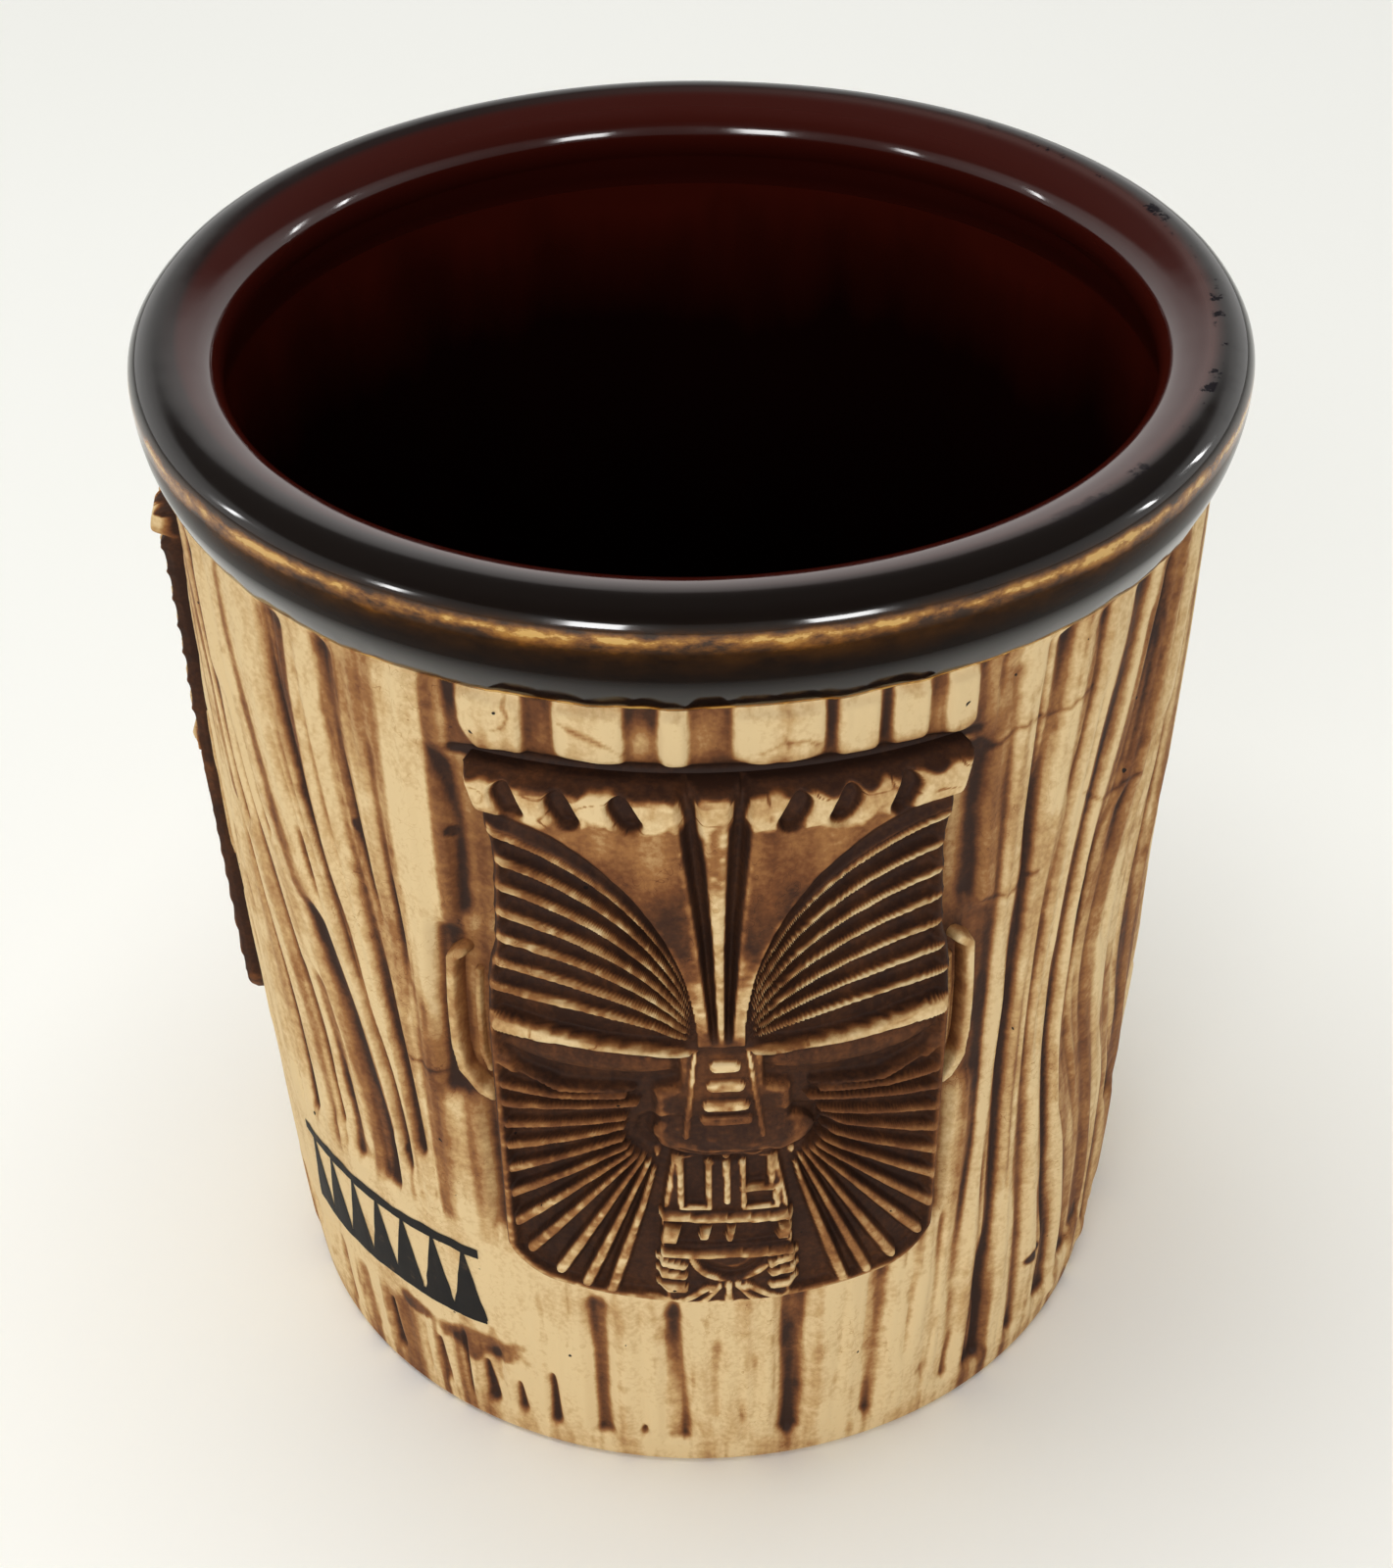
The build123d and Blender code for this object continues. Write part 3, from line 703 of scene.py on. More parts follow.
class Builder:
    """Gathers vertices, faces and texture places, and makes one mesh object of them."""

    def __init__(self):
        self.places, self.faces, self.corners, self.washes = [], [], [], []
        self.count = 0

    def add(self, turn, radius, z, wash):
        """Adds a field of vertices given by turn, radius and height; returns their numbers."""
        turn, radius, z, wash = np.broadcast_arrays(turn, radius, z, wash)
        angle = np.radians(turn)
        places = np.stack((radius * np.sin(angle), -radius * np.cos(angle), z), -1) * MM
        self.places.append(places.reshape(-1, 3))
        self.washes.append(wash.reshape(-1))
        numbers = self.count + np.arange(turn.size).reshape(turn.shape)
        self.count += turn.size
        return numbers

    def quads(self, numbers, across, up, wrap=False):
        """Joins a grid of vertices; across and up are its texture places, one more across when it wraps."""
        if wrap:
            numbers = np.concatenate((numbers, numbers[:, :1]), 1)
        u, v = np.meshgrid(across, up)
        rings = [(slice(None, -1), slice(None, -1)), (slice(None, -1), slice(1, None)),
                 (slice(1, None), slice(1, None)), (slice(1, None), slice(None, -1))]
        self.faces.append(np.stack([numbers[ring] for ring in rings], -1).reshape(-1, 4))
        corners = [np.stack((u[ring], v[ring]), -1) for ring in rings]
        self.corners.append(np.stack(corners, -2).reshape(-1, 4, 2))

    def fan(self, ring, centre, across, near, far):
        """Closes a ring of vertices with triangles to one centre vertex."""
        following = np.roll(ring, -1)
        centres = np.full(len(ring), centre)
        self.faces.append(np.stack((ring, following, centres), -1))
        ends = np.stack((across[:-1], across[1:], (across[:-1] + across[1:]) / 2), -1)
        levels = np.broadcast_to((near, near, far), ends.shape)
        self.corners.append(np.stack((ends, levels), -1))

    def close_turned(self, numbers, rows, low_wash, high_wash):
        """Joins the rings of a turned skin, one for each profile row, and closes both ends at the axis."""
        up = 0.02 + 0.96 * along_profile(rows)
        across = np.linspace(0, 1, numbers.shape[1] + 1)
        self.quads(numbers, across, up, wrap=True)
        low = self.add(0, 0, rows[0][1], low_wash)
        high = self.add(0, 0, rows[-1][1], high_wash)
        self.fan(numbers[0][::-1], int(low), across[::-1], up[0], 0)
        self.fan(numbers[-1], int(high), across, up[-1], 1)

    def make(self, name, material, node):
        """Makes the object: it rides on the CAD body and stands for a CAD node and a material slot."""
        places = np.concatenate(self.places)
        sizes = np.concatenate([np.full(len(f), f.shape[1]) for f in self.faces])
        loops = np.concatenate([f.reshape(-1) for f in self.faces])
        corners = np.concatenate([c.reshape(-1, 2) for c in self.corners])
        mesh = bpy.data.meshes.new(name)
        mesh.vertices.add(len(places))
        mesh.vertices.foreach_set("co", places.astype(np.float32).ravel())
        mesh.loops.add(len(loops))
        mesh.loops.foreach_set("vertex_index", loops.astype(np.int32))
        mesh.polygons.add(len(sizes))
        mesh.polygons.foreach_set("loop_start", (np.cumsum(sizes) - sizes).astype(np.int32))
        mesh.update(calc_edges=True)
        mesh.shade_smooth()
        layer = mesh.uv_layers.new(name="OFBake")
        layer.data.foreach_set("uv", corners.astype(np.float32).ravel())
        attribute = mesh.attributes.new("wash", "FLOAT", "POINT")
        attribute.data.foreach_set("value", np.concatenate(self.washes).astype(np.float32))
        mesh.materials.append(material)
        piece = placed(name, mesh)
        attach(piece, "root")
        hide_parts(node)


def revolve(build, rows, washes, columns, wave=0.0, sag=0.0):
    """Adds a turned skin through a profile; wave moves its places outwards and sag moves them down."""
    radii, heights = np.array(rows).T
    turn = np.arange(columns) * 360 / columns - 180
    radius = radii[:, None] + wave + 0 * turn
    return build.add(turn, radius, heights[:, None] - sag, np.asarray(washes)[:, None])


def along_profile(rows):
    """Texture height of each profile row: its share of the profile's length."""
    steps = np.hypot(*np.diff(np.array(rows), axis=0).T)
    length = np.concatenate(([0], np.cumsum(steps)))
    return length / length[-1]


def behind(rows, depth):
    """A profile moved to the left of its own direction, and run the other way."""
    along = np.gradient(np.array(rows), axis=0)
    along /= np.hypot(*along.T)[:, None]
    moved = np.array(rows) + depth * np.stack((-along[:, 1], along[:, 0]), -1)
    return [tuple(place) for place in moved[::-1]]


def tangent_arc(start, end, heading, count):
    """Points of the arc that leaves start in a heading and ends at end."""
    sx, sy = start
    ex, ey = end
    hx, hy = heading
    nx, ny = -hy, hx
    dx, dy = ex - sx, ey - sy
    side = (dx * dx + dy * dy) / (2 * (dx * nx + dy * ny))
    cx, cy = sx + nx * side, sy + ny * side
    first = math.atan2(sy - cy, sx - cx)
    sweep = math.atan2(ey - cy, ex - cx) - first
    while sweep * side < 0:
        sweep += math.copysign(2 * math.pi, side)
    turns = first + np.linspace(0, 1, count) * sweep
    return list(zip(cx + abs(side) * np.cos(turns), cy + abs(side) * np.sin(turns)))


def cavity_profile(inset):
    """The drinking space's skin from the mouth's foot down to the middle of the floor."""
    floor = FLOOR - inset
    corner_radius = CAVITY_CORNER + inset
    wall_low = wall_radius(floor) - WALL + inset
    lean = math.atan2(SHOULDER_RADIUS - FOOT_RADIUS, SHOULDER)
    centre_r = wall_low - corner_radius * (1 - math.sin(lean)) / math.cos(lean)
    centre_z = floor + corner_radius
    swing = np.linspace(-lean, -math.pi / 2, 14)
    corner = [(centre_r + corner_radius * math.cos(t), centre_z + corner_radius * math.sin(t)) for t in swing]
    levels = np.linspace(SHOULDER, corner[0][1], 60)[:-1]
    overlap = [(MOUTH_RADIUS + inset + 0.03, SHOULDER + 3.4), (MOUTH_RADIUS + inset - 0.005, SHOULDER + 2.2)]
    wall = overlap + [(wall_radius(level) - WALL + inset, level) for level in levels]
    floor_rows = [(corner[-1][0] * share, floor) for share in np.linspace(1, 0.02, 14)[1:]]
    return wall + corner + floor_rows


def lip_profile():
    """The glazed lip from its lower edge over the crown and down the mouth to where it meets the liner."""
    widest_point = (LIP_RADIUS, HEIGHT - LIP_EDGE)
    crown = (LIP_RADIUS - LIP_EDGE, HEIGHT)
    brink = (MOUTH_RADIUS + 1.0, HEIGHT - 0.69)
    throat = (MOUTH_RADIUS - 0.3, HEIGHT - 5.2)
    flare = tangent_arc(widest_point, (SHOULDER_RADIUS + 0.25, SHOULDER + 0.2), (0, -1), 24)[::-1]
    edge = tangent_arc(widest_point, crown, (0, 1), 20)
    slope = tangent_arc(crown, brink, (-1, 0), 16)
    heading = np.subtract(slope[-1], slope[-2])
    fall = tangent_arc(brink, throat, heading / np.hypot(*heading), 16)
    inner = [(MOUTH_RADIUS - 0.26, HEIGHT - 6.6), (MOUTH_RADIUS - 0.12, SHOULDER + 2.6),
             (MOUTH_RADIUS - 0.02, SHOULDER + 1.5), (MOUTH_RADIUS + 0.2, SHOULDER + 0.5)]
    tucked = [(SHOULDER_RADIUS - 0.3, SHOULDER - 0.05), (SHOULDER_RADIUS + 0.12, SHOULDER)]
    return tucked + flare + edge[1:] + slope[1:] + fall[1:] + inner


def clay_body(wall, material):
    """The bucket: carved outside, and a plain inside that the glaze hides."""
    turn, z, relief, wash = wall
    build = Builder()
    foot_curl = 0.8 * (1 - np.sqrt(np.clip(1 - (1 - np.clip(z / 0.8, 0, 1)) ** 2, 0, 1)))
    outer = build.add(turn, wall_radius(z) + relief - foot_curl, z, wash)
    hidden = [
        (SHOULDER_RADIUS - 0.8, SHOULDER + 1), (LIP_RADIUS - 1.2, HEIGHT - 3),
        (LIP_RADIUS - 2.6, HEIGHT - 1.2), (MOUTH_RADIUS + GLAZE + 1.2, HEIGHT - 2.6),
        (MOUTH_RADIUS + GLAZE, HEIGHT - 4.5),
    ]
    inside = hidden + [(r + 0.15, h - 0.1) for r, h in cavity_profile(GLAZE)]
    inner = revolve(build, inside, [0.3] * len(inside), WALL_COLUMNS)
    ring_outer, ring_inner = FOOT_RADIUS - FOOT_RING_OUTSIDE, FOOT_RADIUS - FOOT_RING_INSIDE
    under = [
        (0.5, RECESS), (12, RECESS), (24, RECESS), (ring_inner - 0.3, RECESS - 0.05),
        (ring_inner, RECESS - 0.3), (ring_inner + 0.1, 0.3), (ring_inner + 0.6, 0.0), (ring_outer - 1.5, 0.0),
    ]
    foot = revolve(build, under, [0.25, 0.22, 0.2, 0.35, 0.4, 0.3, 0.05, 0.05], WALL_COLUMNS)
    outside = list(zip(wall_radius(z[:, 0]), z[:, 0]))
    build.close_turned(np.concatenate((foot, outer, inner)), under + outside + inside, 0.25, 0.3)
    build.make("clay_body_carved", material, "clay_body")


def glaze_waves(rows, size):
    """Unevenness of a poured glaze, by profile row and column; level where the two glazes meet."""
    radii, heights = np.array(rows).T
    angle = np.radians(np.arange(GLAZE_COLUMNS) * 360 / GLAZE_COLUMNS)
    wave = size * wobble(4 * np.cos(angle) + heights[:, None] / 14, 4 * np.sin(angle) + heights[:, None] / 20)
    seam = (heights > SHOULDER - 3) & (heights < SHOULDER + 4.5) & (radii < MOUTH_RADIUS + 1)
    wave[seam] = 0
    return wave


def liner(material):
    """The glossy coat inside, down the wall and over the floor."""
    rows = cavity_profile(0)
    back = cavity_profile(GLAZE)[::-1]
    heights = np.array(rows)[:, 1]
    build = Builder()
    hidden = revolve(build, back, [0.5] * len(back), GLAZE_COLUMNS)
    # The height carried in the wash attribute sets the painted shade deep in the cup.
    face = revolve(build, rows, heights / HEIGHT, GLAZE_COLUMNS, glaze_waves(rows, 0.10))
    build.close_turned(np.concatenate((hidden, face)), back + rows, 0.5, heights[-1] / HEIGHT)
    build.make("liner_coat", material, "liner_glaze")


def rim(material):
    """The dark coat over the lip: thin and amber on its outer corner, with a painted highlight along that
    amber line, a painted reflection on the crown's inner slope, and red-brown inside the mouth.
    """
    rows = lip_profile()
    back = behind(rows, GLAZE)
    radii, heights = np.array(rows).T
    crown_radius = LIP_RADIUS - LIP_EDGE
    # Tone falls inward from the crown: a painted reflection on the inner slope, then red-brown further in.
    inside = smooth(radii, crown_radius + 0.2, crown_radius - 2.2)
    below = HEIGHT - LIP_EDGE - heights
    # Amber line at the lip's widest point: partly thin glaze, partly a painted highlight.
    line = np.where(below > 0, np.exp(-below / 0.95), np.exp(-((below / 0.6) ** 2)))
    lower_edge = 0.9 * smooth(heights, SHOULDER + 0.55, SHOULDER + 0.2)
    # The tone carries the amber line with its painted highlight, the painted reflection inside the crown, and
    # red-brown further in.
    tone = 0.5 + 0.5 * np.maximum(line, lower_edge) * (radii > crown_radius) - 0.5 * inside
    turn = np.arange(GLAZE_COLUMNS) * 360 / GLAZE_COLUMNS - 180
    runs = 0.20 * smooth(wobble(turn / 4, 0 * turn), -0.2, 1)
    runs = runs + 0.05 * smooth(wobble(turn / 1.4, 0 * turn), 0, 1)
    hanging = smooth(heights, SHOULDER + 2.2, SHOULDER + 0.4) * (radii > MOUTH_RADIUS + 1)
    sag = runs * hanging[:, None]
    build = Builder()
    hidden = revolve(build, back, [0.5] * len(back), GLAZE_COLUMNS)
    face = revolve(build, rows, tone, GLAZE_COLUMNS, glaze_waves(rows, 0.06), sag)
    loop = np.concatenate((hidden, face, hidden[:1]))
    up = along_profile(back + rows + back[:1])
    build.quads(loop, np.linspace(0, 1, GLAZE_COLUMNS + 1), up, wrap=True)
    build.make("rim_coat", material, "rim_glaze")


def shell(build, turn, z, height, wash, box, middle):
    """A closed block of relief: its carved face, its sides down into the wall, and a plain back."""
    left, low, right, high = box
    face = build.add(turn, wall_radius(z) + height, z, wash)
    rows, columns = face.shape
    tall = high - low
    build.quads(face, np.linspace(left, right, columns), np.linspace(low, low + 0.86 * tall, rows))

    def border(field):
        return np.concatenate((field[0, :-1], field[:-1, -1], field[-1, :0:-1], field[:0:-1, 0]))

    ring_turn, ring_z, ring_height = border(turn), border(z), border(height)
    rings = [border(face)]
    for share in (0.3, 0.65, 1.0):
        radius = wall_radius(ring_z) + put(ring_height, -MASK_SINK, share)
        rings.append(build.add(ring_turn, radius, ring_z, 1.0))
    across = np.linspace(left, right, len(ring_turn) + 1)
    levels = low + tall * np.array((0.88, 0.90, 0.92, 0.95))
    build.quads(np.stack(rings)[::-1], across, levels[::-1], wrap=True)
    centre = build.add(middle[0], wall_radius(middle[1]) - MASK_SINK, middle[1], 0.85)
    build.fan(rings[-1][::-1], int(centre), across[::-1], levels[-1], high)


def mask(turn_middle, node, edge_width, material):
    """One carved mask: its plate and its two ears."""
    build = Builder()
    rows, columns = 500, 300
    share = np.linspace(-1, 1, columns)[None, :]
    step = np.linspace(0, 1, rows)[:, None]
    bottom = mask_bottom(share)
    v = bottom + step * (MASK_TALL - bottom)
    u = share * mask_half_width(v)
    height = mask_relief(u, v, edge_width)
    wash = mask_wash(u, v, height, 2 * 17.5 / columns, MASK_TALL / rows)
    z = MASK_LOW + v
    turn = turn_middle + np.degrees(u / wall_radius(z))
    shell(build, turn, z, height, wash, (0, 0, 0.86, 1), (turn_middle, MASK_LOW + 28))
    for side, low in ((-1, 0.0), (1, 0.5)):
        ear(build, turn_middle, side, (0.88, low, 1.0, low + 0.48))
    build.make(node + "_carved", material, node)


def ear(build, turn_middle, side, box):
    """One ear: a thin hooked ridge round a dark hollow, beside the plate."""
    rows, columns = 150, 48
    out = np.linspace(0, 1, columns)[None, :]
    step = np.linspace(0, 1, rows)[:, None]
    v = EAR_LOW + step * (EAR_HIGH - EAR_LOW) + 0 * out
    reach = EAR_INNER + out * (EAR_OUTER - EAR_INNER) + 0 * step
    wide = 3.6 if side < 0 else 2.4
    hook = [(0.5, 20.5), (0.45 * wide, 20.8), (0.88 * wide, 22.6), (wide, 25), (wide, 34.8)]
    hook.append((wide - 0.8, 35.6))
    inner = [(0.30 * wide, 22.8), (0.46 * wide, 24.5), (0.46 * wide, 33.5)]
    height = -0.66 + 0.05 * wobble(reach / 0.9, v / 2)
    ridge = smooth(stroke(hook, 1.35, reach, v), 0, 0.8)
    thread = smooth(stroke(inner, 0.75, reach, v), 0, 0.8)
    dip = bell(reach, 0.74 * wide, 0.5) * plateau(v, 22, 24, 33.5, 35)
    height = height + 1.6 * ridge + 0.75 * thread - 0.2 * dip
    wash = 0.52 + 0.4 * dip + 0.12 * wobble(reach / 1.2, v / 3)
    wash = wash - 0.5 * ridge * (0.75 + 0.3 * wobble(reach / 0.6, v / 1.2)) - 0.25 * thread
    ends = np.minimum(step, 1 - step) * (EAR_HIGH - EAR_LOW)
    edge = np.minimum(np.minimum(out, 1 - out) * (EAR_OUTER - EAR_INNER), ends)
    sunk = 1 - smooth(edge, 0.0, 0.45)
    height = put(height, -0.9, sunk)
    z = MASK_LOW + v
    turn = turn_middle + side * np.degrees((mask_half_width(v) + reach) / wall_radius(z))
    fields = np.broadcast_arrays(turn, z, height, wash)
    turn, z, height, wash = (field[:, ::side] for field in fields)
    shell(build, turn, z, height, wash, box, (float(turn.mean()), float(z.mean())))


def on_wall(wall, turn, z):
    """Relief of the wall at places between the grid's, read off the field."""
    relief = wall[2]
    column = (turn + 180) / 360 * WALL_COLUMNS
    row = z / wall[1][1, 0]
    left, low = np.floor(column).astype(int), np.floor(row).astype(int)
    x, y = column - left, row - low
    right = (left + 1) % WALL_COLUMNS
    left = left % WALL_COLUMNS
    return ((relief[low, left] * (1 - x) + relief[low, right] * x) * (1 - y)
            + (relief[low + 1, left] * (1 - x) + relief[low + 1, right] * x) * y)


BORDER_MIDDLE, BORDER_HALF = -48.0, 17.0   # degrees
BORDER_LINE = 1.2
BORDER_TEETH = 7
PAINT_THICKNESS = 0.06


def painted_border(wall, material):
    """A zigzag between two lines, brushed on the smooth stretch left of the first mask."""
    build = Builder()

    def brushed(turn, z, box):
        numbers = build.add(turn, wall_radius(z) + on_wall(wall, turn, z) + PAINT_THICKNESS, z, 0.5)
        left, low, right, high = box
        rows, columns = numbers.shape
        build.quads(numbers, np.linspace(left, right, columns), np.linspace(low, high, rows))

    along = np.linspace(-BORDER_HALF, BORDER_HALF, 220)[None, :]
    across = np.linspace(0, 1, 7)[:, None]
    for number, level in enumerate((BORDER_LOW, BORDER_HIGH - BORDER_LINE)):
        shift = 0.12 * wobble(along / 2.1 + 9 * number, 0 * along)
        thickness = BORDER_LINE * (1 + 0.12 * wobble(along / 1.7, 0 * along))
        z = level + shift + across * thickness
        brushed(BORDER_MIDDLE + along + 0 * z, z, (0, 0.1 * number, 1, 0.1 * number + 0.08))
    pitch = 2 * BORDER_HALF / BORDER_TEETH
    side = np.linspace(-1, 1, 25)[None, :]
    rise = np.linspace(0, 1, 60)[:, None]
    for number in range(BORDER_TEETH):
        centre = -BORDER_HALF + pitch * (number + 0.5) + 0.15 * RANDOM.uniform(-1, 1)
        width = 0.5 * pitch * (1 - rise) * (1 + 0.06 * wobble(rise * 7 + number, 0 * rise)) + 0.12
        z = BORDER_LOW + BORDER_LINE * 0.5 + rise * (BORDER_HIGH - BORDER_LOW - BORDER_LINE) + 0 * side
        box = (number / BORDER_TEETH, 0.25, (number + 0.9) / BORDER_TEETH, 0.95)
        brushed(BORDER_MIDDLE + centre + side * width, z, box)
    build.make("painted_border_brushed", material, "painted_border")


# ---- materials ----
def srgb(red, green, blue):
    """A colour given as screen values from 0 to 255, as the light values that shaders use."""
    def light(value):
        value = value / 255
        return value / 12.92 if value <= 0.04045 else ((value + 0.055) / 1.055) ** 2.4
    return (light(red), light(green), light(blue), 1.0)


class Shader:
    """A material's node tree, with short ways to add and join nodes."""

    def __init__(self, name):
        self.material = bpy.data.materials.new(name)
        self.material.use_nodes = True
        self.tree = self.material.node_tree
        self.surface = self.tree.nodes["Principled BSDF"]

    def node(self, kind, **settings):
        node = self.tree.nodes.new("ShaderNode" + kind)
        for setting, value in settings.items():
            setattr(node, setting, value)
        return node

    def join(self, source, target):
        self.tree.links.new(source, target)

    def place(self):
        """Place on the object, in metres."""
        return self.node("TexCoord").outputs["Object"]

    def stretched(self, scale):
        mapping = self.node("Mapping")
        mapping.inputs["Scale"].default_value = scale
        self.join(self.place(), mapping.inputs["Vector"])
        return mapping.outputs["Vector"]

    def noise(self, scale, detail=3.0, stretch=(1, 1, 1), rough=0.55):
        noise = self.node("TexNoise")
        noise.inputs["Scale"].default_value = scale
        noise.inputs["Detail"].default_value = detail
        noise.inputs["Roughness"].default_value = rough
        self.join(self.stretched(stretch), noise.inputs["Vector"])
        return noise.outputs["Fac"]

    def part(self, axis):
        """One coordinate of the place on the object."""
        split = self.node("SeparateXYZ")
        self.join(self.place(), split.inputs[0])
        return split.outputs[axis]

    def attribute(self, name):
        return self.node("Attribute", attribute_name=name).outputs["Fac"]

    def math(self, operation, first, second=None, third=None):
        node = self.node("Math", operation=operation)
        for socket, value in zip(node.inputs, (first, second, third)):
            if value is None:
                continue
            if isinstance(value, (int, float)):
                socket.default_value = value
            else:
                self.join(value, socket)
        return node.outputs[0]

    def between(self, value, low, high, out_low=0.0, out_high=1.0):
        """A value mapped from one range to another, held at the ends."""
        node = self.node("MapRange")
        for socket, number in zip(node.inputs[1:5], (low, high, out_low, out_high)):
            socket.default_value = number
        self.join(value, node.inputs[0])
        return node.outputs[0]

    def ramp(self, value, *stops):
        node = self.node("ValToRGB")
        elements = node.color_ramp.elements
        while len(elements) < len(stops):
            elements.new(1.0)
        for element, (place, colour) in zip(elements, stops):
            element.position = place
            element.color = colour
        self.join(value, node.inputs[0])
        return node.outputs["Color"]

    def mixed(self, share, first, second, kind="MIX"):
        node = self.node("Mix", data_type="RGBA", blend_type=kind)
        for socket, value in ((node.inputs[0], share), (node.inputs[6], first), (node.inputs[7], second)):
            if isinstance(value, (int, float, tuple)):
                socket.default_value = value
            else:
                self.join(value, socket)
        return node.outputs[2]

    def bump(self, height, strength, distance):
        node = self.node("Bump")
        node.inputs["Strength"].default_value = strength
        node.inputs["Distance"].default_value = distance
        self.join(height, node.inputs["Height"])
        self.join(node.outputs["Normal"], self.surface.inputs["Normal"])

    def set(self, **values):
        for name, value in values.items():
            socket = self.surface.inputs[name.replace("_", " ")]
            if isinstance(value, (int, float, tuple)):
                socket.default_value = value
            else:
                self.join(value, socket)


def crackle(shade, scale, width):
    """1 on the hairlines of a crazed glaze, broken up so that only some show."""
    cells = shade.node("TexVoronoi", feature="DISTANCE_TO_EDGE")
    cells.inputs["Scale"].default_value = scale
    warp = shade.node("Mix", data_type="RGBA")
    warp.inputs[0].default_value = 0.02
    noise = shade.node("TexNoise")
    noise.inputs["Scale"].default_value = 300
    shade.join(shade.place(), noise.inputs["Vector"])
    shade.join(shade.place(), warp.inputs[6])
    shade.join(noise.outputs["Color"], warp.inputs[7])
    shade.join(warp.outputs[2], cells.inputs["Vector"])
    line = shade.between(cells.outputs["Distance"], 0, width, 1, 0)
    some = shade.between(shade.noise(60, 2), 0.52, 0.62)
    return shade.math("MULTIPLY", line, some)


def stained_clay(name, base_roughness, shine):
    """Cream clay under a brown wash; the wash attribute says how much of it the carving held."""
    shade = Shader(name)
    wash = shade.attribute("wash")
    mottle = shade.between(shade.noise(420, 4, (1, 1, 0.35)), 0.25, 0.75, -0.11, 0.12)
    cloud = shade.between(shade.noise(90, 3), 0.3, 0.7, -0.05, 0.06)
    grit = shade.between(shade.noise(2200, 2), 0.35, 0.65, -0.05, 0.05)
    level = shade.math("ADD", shade.math("ADD", wash, mottle), shade.math("ADD", cloud, grit))
    level = shade.math("ADD", level, shade.math("MULTIPLY", crackle(shade, 260, 0.012), 0.22))
    colour = shade.ramp(
        level,
        (0.0, srgb(231, 203, 154)),
        (0.18, srgb(204, 166, 113)),
        (0.40, srgb(160, 110, 64)),
        (0.62, srgb(118, 72, 40)),
        (0.85, srgb(76, 46, 28)),
        (1.0, srgb(54, 33, 23)),
    )
    specks = shade.between(shade.noise(900, 1), 0.79, 0.81)
    colour = shade.mixed(specks, colour, srgb(30, 20, 16))
    roughness = shade.between(level, 0, 1, base_roughness, base_roughness - 0.1)
    shade.set(Base_Color=colour, Roughness=roughness, Specular_IOR_Level=shine)
    shade.bump(shade.noise(1500, 3), 0.25, 0.0002)
    return shade.material


def rim_material():
    """Near-black glaze: amber where the attribute nears 1, as if thin, with a painted highlight along it; a
    painted reflection, lighter to the right, where it falls from a half to a quarter; and red-brown where it
    nears 0.
    """
    shade = Shader("rim_glaze")
    tone = shade.attribute("wash")
    # The amber end of this ramp is partly thin glaze and partly a painted highlight along the lip's widest
    # point.
    patchy = shade.between(shade.noise(260, 5, (1, 1, 2.0), 0.65), 0.34, 0.66, 0.3, 1.45)
    thin = shade.math("MULTIPLY", shade.between(tone, 0.5, 1.0), patchy)
    colour = shade.ramp(
        thin,
        (0.0, srgb(18, 12, 9)),
        (0.3, srgb(64, 38, 14)),
        (0.55, srgb(122, 75, 24)),
        (0.85, srgb(172, 120, 48)),
        (1.0, srgb(212, 168, 92)),
    )
    # Painted reflection of the room on the crown's inner slope, lighter towards the right.
    reflection_lighter_right = shade.between(shade.part("X"), -0.02, 0.035)
    mauve_painted_reflection = shade.mixed(reflection_lighter_right, srgb(30, 17, 15), srgb(72, 44, 40))
    colour = shade.mixed(shade.between(tone, 0.5, 0.25), colour, mauve_painted_reflection)
    colour = shade.mixed(shade.between(tone, 0.15, 0.0), colour, srgb(54, 14, 8))
    near_crown = shade.math("MULTIPLY", shade.between(tone, 0.2, 0.3), shade.between(tone, 0.502, 0.49))
    # Painted dark reflections: patches in the painted reflection on the right of the crown, where the shine
    # is cut too.
    dark_reflection_patches = shade.math("MULTIPLY", shade.between(shade.noise(380, 5, (1, 1, 1), 0.7), 0.54, 0.58), near_crown)
    dark_reflection_patches = shade.math("MULTIPLY", dark_reflection_patches, shade.between(shade.part("X"), 0.02, 0.034))
    colour = shade.mixed(dark_reflection_patches, colour, srgb(22, 18, 22))
    rough = shade.between(shade.noise(300, 3), 0.3, 0.7, 0.06, 0.14)
    shade.set(Base_Color=colour, Roughness=rough)
    above = shade.between(shade.part("Z"), 0.0880, 0.0900)
    below = shade.between(shade.part("Z"), 0.0938, 0.0925)
    band = shade.math("MULTIPLY", above, below)
    shade.set(Specular_IOR_Level=shade.between(shade.math("MAXIMUM", dark_reflection_patches, band), 0, 1, 0.46, 0.03))
    shade.bump(shade.noise(90, 2), 0.1, 0.0005)
    return shade.material


def liner_material():
    """Red-brown glaze under the mouth, painted darker to near black further down as shade deep in the cup;
    the attribute is the height.
    """
    shade = Shader("liner_glaze")
    height = shade.attribute("wash")
    runs = shade.between(shade.noise(110, 3, (1, 1, 0.3)), 0.3, 0.7, -0.03, 0.03)
    level = shade.math("ADD", height, runs)
    # Painted shade: the glaze's colour darkens with depth in the cup.
    colour = shade.ramp(
        level,
        (0.50, srgb(5, 1, 1)),
        (0.78, srgb(17, 3, 2)),
        (0.86, srgb(42, 9, 4)),
        (0.91, srgb(60, 15, 7)),
    )
    rough = shade.between(shade.noise(300, 3), 0.3, 0.7, 0.05, 0.12)
    shade.set(Base_Color=colour, Roughness=rough, Specular_IOR_Level=0.36)
    shade.bump(shade.noise(90, 2), 0.1, 0.0005)
    return shade.material


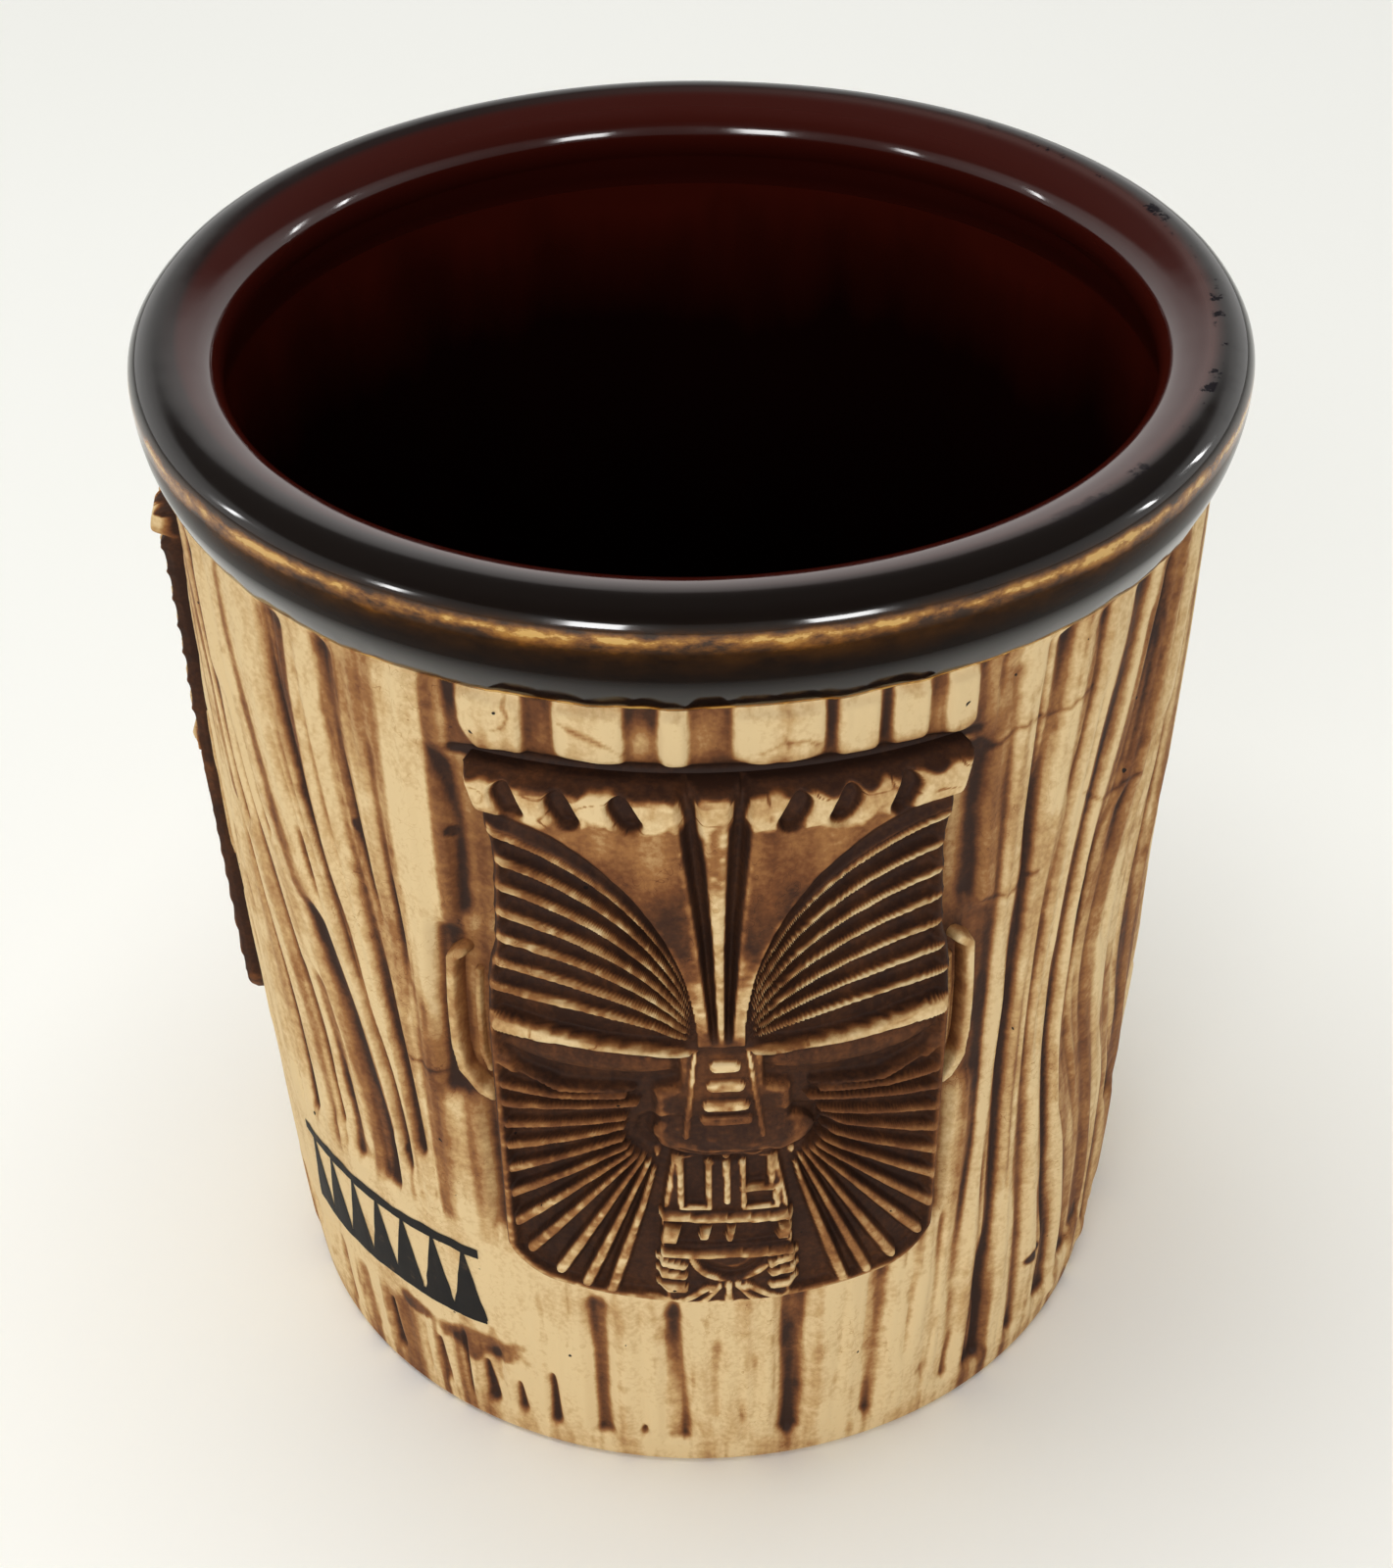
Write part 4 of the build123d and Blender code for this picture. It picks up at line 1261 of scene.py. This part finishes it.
def paint_material():
    """Black paint, slightly worn."""
    shade = Shader("black_paint")
    wear = shade.noise(700, 4)
    colour = shade.ramp(wear, (0.3, srgb(14, 12, 12)), (0.62, srgb(24, 20, 18)), (0.82, srgb(84, 64, 46)))
    shade.set(Base_Color=colour, Roughness=0.6, Specular_IOR_Level=0.15)
    shade.bump(wear, 0.2, 0.0001)
    return shade.material


# ---- the stage ----
# Windows that only show as glints, a metre away: azimuth and rise in degrees, width and height in metres.
WINDOWS = (
    (25, 20, 0.20, 0.20), (-20.5, 20, 0.17, 0.26), (-59, 20, 0.08, 0.14),
    (-98, 20, 0.05, 0.12), (92, 20, 0.05, 0.12), (110, 20, 0.05, 0.12),
)
WINDOW_GLOW = 26.0


def stage():
    """A pale table that runs out of sight, soft light from above, and small lamps for the glints."""
    size = 6.0
    corners = [(-size, -size, 0), (size, -size, 0), (size, size, 0), (-size, size, 0)]
    mesh = bpy.data.meshes.new("table")
    mesh.from_pydata(corners, [], [(0, 1, 2, 3)])
    table = placed("table", mesh)
    shade = Shader("table")
    colour = shade.ramp(shade.noise(3, 2), (0.3, srgb(249, 249, 243)), (0.7, srgb(252, 252, 247)))
    shade.set(Base_Color=colour, Roughness=0.6, Specular_IOR_Level=0.2)
    table.data.materials.append(shade.material)
    lights = [
        lamp("overhead", (-0.10, 0.05, 1.10), 0.9, 0.9, 9.3, False),
        lamp("front", (-0.20, -0.98, 0.70), 0.7, 0.5, 4.6, False),
    ]
    for number, (azimuth, rise, wide, tall) in enumerate(WINDOWS):
        upwards = Matrix.Rotation(-math.radians(rise), 3, "X") @ Vector((0, -1, 0))
        place = Matrix.Rotation(math.radians(azimuth), 3, "Z") @ upwards
        power = WINDOW_GLOW * math.pi * wide * tall
        lights.append(lamp("window_" + str(number), tuple(place), wide, tall, power, True))
    world = bpy.data.worlds.new("room")
    bpy.context.scene.world = world
    world.use_nodes = True
    room_light(world.node_tree)


def lamp(name, place, width, depth, power, for_glints):
    """A rectangular lamp turned to the mug, that either lights it or only shows in its glaze."""
    data = bpy.data.lights.new(name, "AREA")
    data.shape = "RECTANGLE"
    data.size, data.size_y, data.energy = width, depth, power
    light = placed(name, data)
    light.location = place
    light.rotation_mode = "QUATERNION"
    light.rotation_quaternion = (Vector((0, 0, 0.05)) - Vector(place)).to_track_quat("-Z", "Y")
    light.visible_diffuse = not for_glints
    light.visible_glossy = for_glints
    return light


def room_light(tree):
    """Light from all round: bright up to a third of the way to overhead, and dim above that."""
    background = tree.nodes["Background"]
    place = tree.nodes.new("ShaderNodeTexCoord")
    split = tree.nodes.new("ShaderNodeSeparateXYZ")
    ramp = tree.nodes.new("ShaderNodeValToRGB")
    tree.links.new(place.outputs["Generated"], split.inputs[0])
    tree.links.new(split.outputs["Z"], ramp.inputs[0])
    tree.links.new(ramp.outputs["Color"], background.inputs["Color"])
    behind_only = tree.nodes.new("ShaderNodeMapRange")
    for socket, value in zip(behind_only.inputs[1:5], (-0.7, 0.1, 0.5, 1.15)):
        socket.default_value = value
    tree.links.new(split.outputs["Y"], behind_only.inputs[0])
    tree.links.new(behind_only.outputs[0], background.inputs["Strength"])
    elements = ramp.color_ramp.elements
    stops = ((0.0, 1.0), (0.30, 0.85), (0.46, 0.6), (0.53, 0.10), (1.0, 0.08))
    while len(elements) < len(stops):
        elements.new(1.0)
    for element, (position, value) in zip(elements, stops):
        element.position = position
        element.color = (value, value * 0.99, value * 0.97, 1.0)


CAMERA_TURN = -2.3                        # degrees from the first mask's middle
CAMERA_DOWN = 37.00081                    # degrees below level
CAMERA_ROLL = -0.707328                   # degrees
CAMERA_AWAY, CAMERA_HIGH = 0.2131, 0.20815   # metres from the axis and from the table
CAMERA_LENS, CAMERA_SENSOR = 68.0, 36.0   # millimetres


def camera():
    """The view that was fitted to the outlines in the photo."""
    azimuth, pitch, roll = (math.radians(angle) for angle in (CAMERA_TURN, CAMERA_DOWN, CAMERA_ROLL))
    data = bpy.data.cameras.new("camera")
    data.lens = CAMERA_LENS
    data.sensor_width = CAMERA_SENSOR
    eye = placed("camera", data)
    eye.location = (CAMERA_AWAY * math.sin(azimuth), -CAMERA_AWAY * math.cos(azimuth), CAMERA_HIGH)
    eye.rotation_mode = "QUATERNION"
    tilt = Matrix.Rotation(math.pi / 2 - pitch, 3, "X") @ Matrix.Rotation(roll, 3, "Z")
    eye.rotation_quaternion = (Matrix.Rotation(azimuth, 3, "Z") @ tilt).to_quaternion()
    bpy.context.scene.camera = eye


# ---- everything ----
stoneware = stained_clay("stained_stoneware", 0.72, 0.15)
mask_clay = stained_clay("stained_mask", 0.78, 0.11)
wall = wall_fields()
clay_body(wall, stoneware)
liner(liner_material())
rim(rim_material())
for middle, node, edge_width in zip(MASK_TURNS, MASK_NODES, MASK_EDGES):
    mask(middle, node, edge_width, mask_clay)
painted_border(wall, paint_material())
stage()
camera()
bpy.context.scene.view_settings.view_transform = "Standard"

bpy.context.view_layer.update()
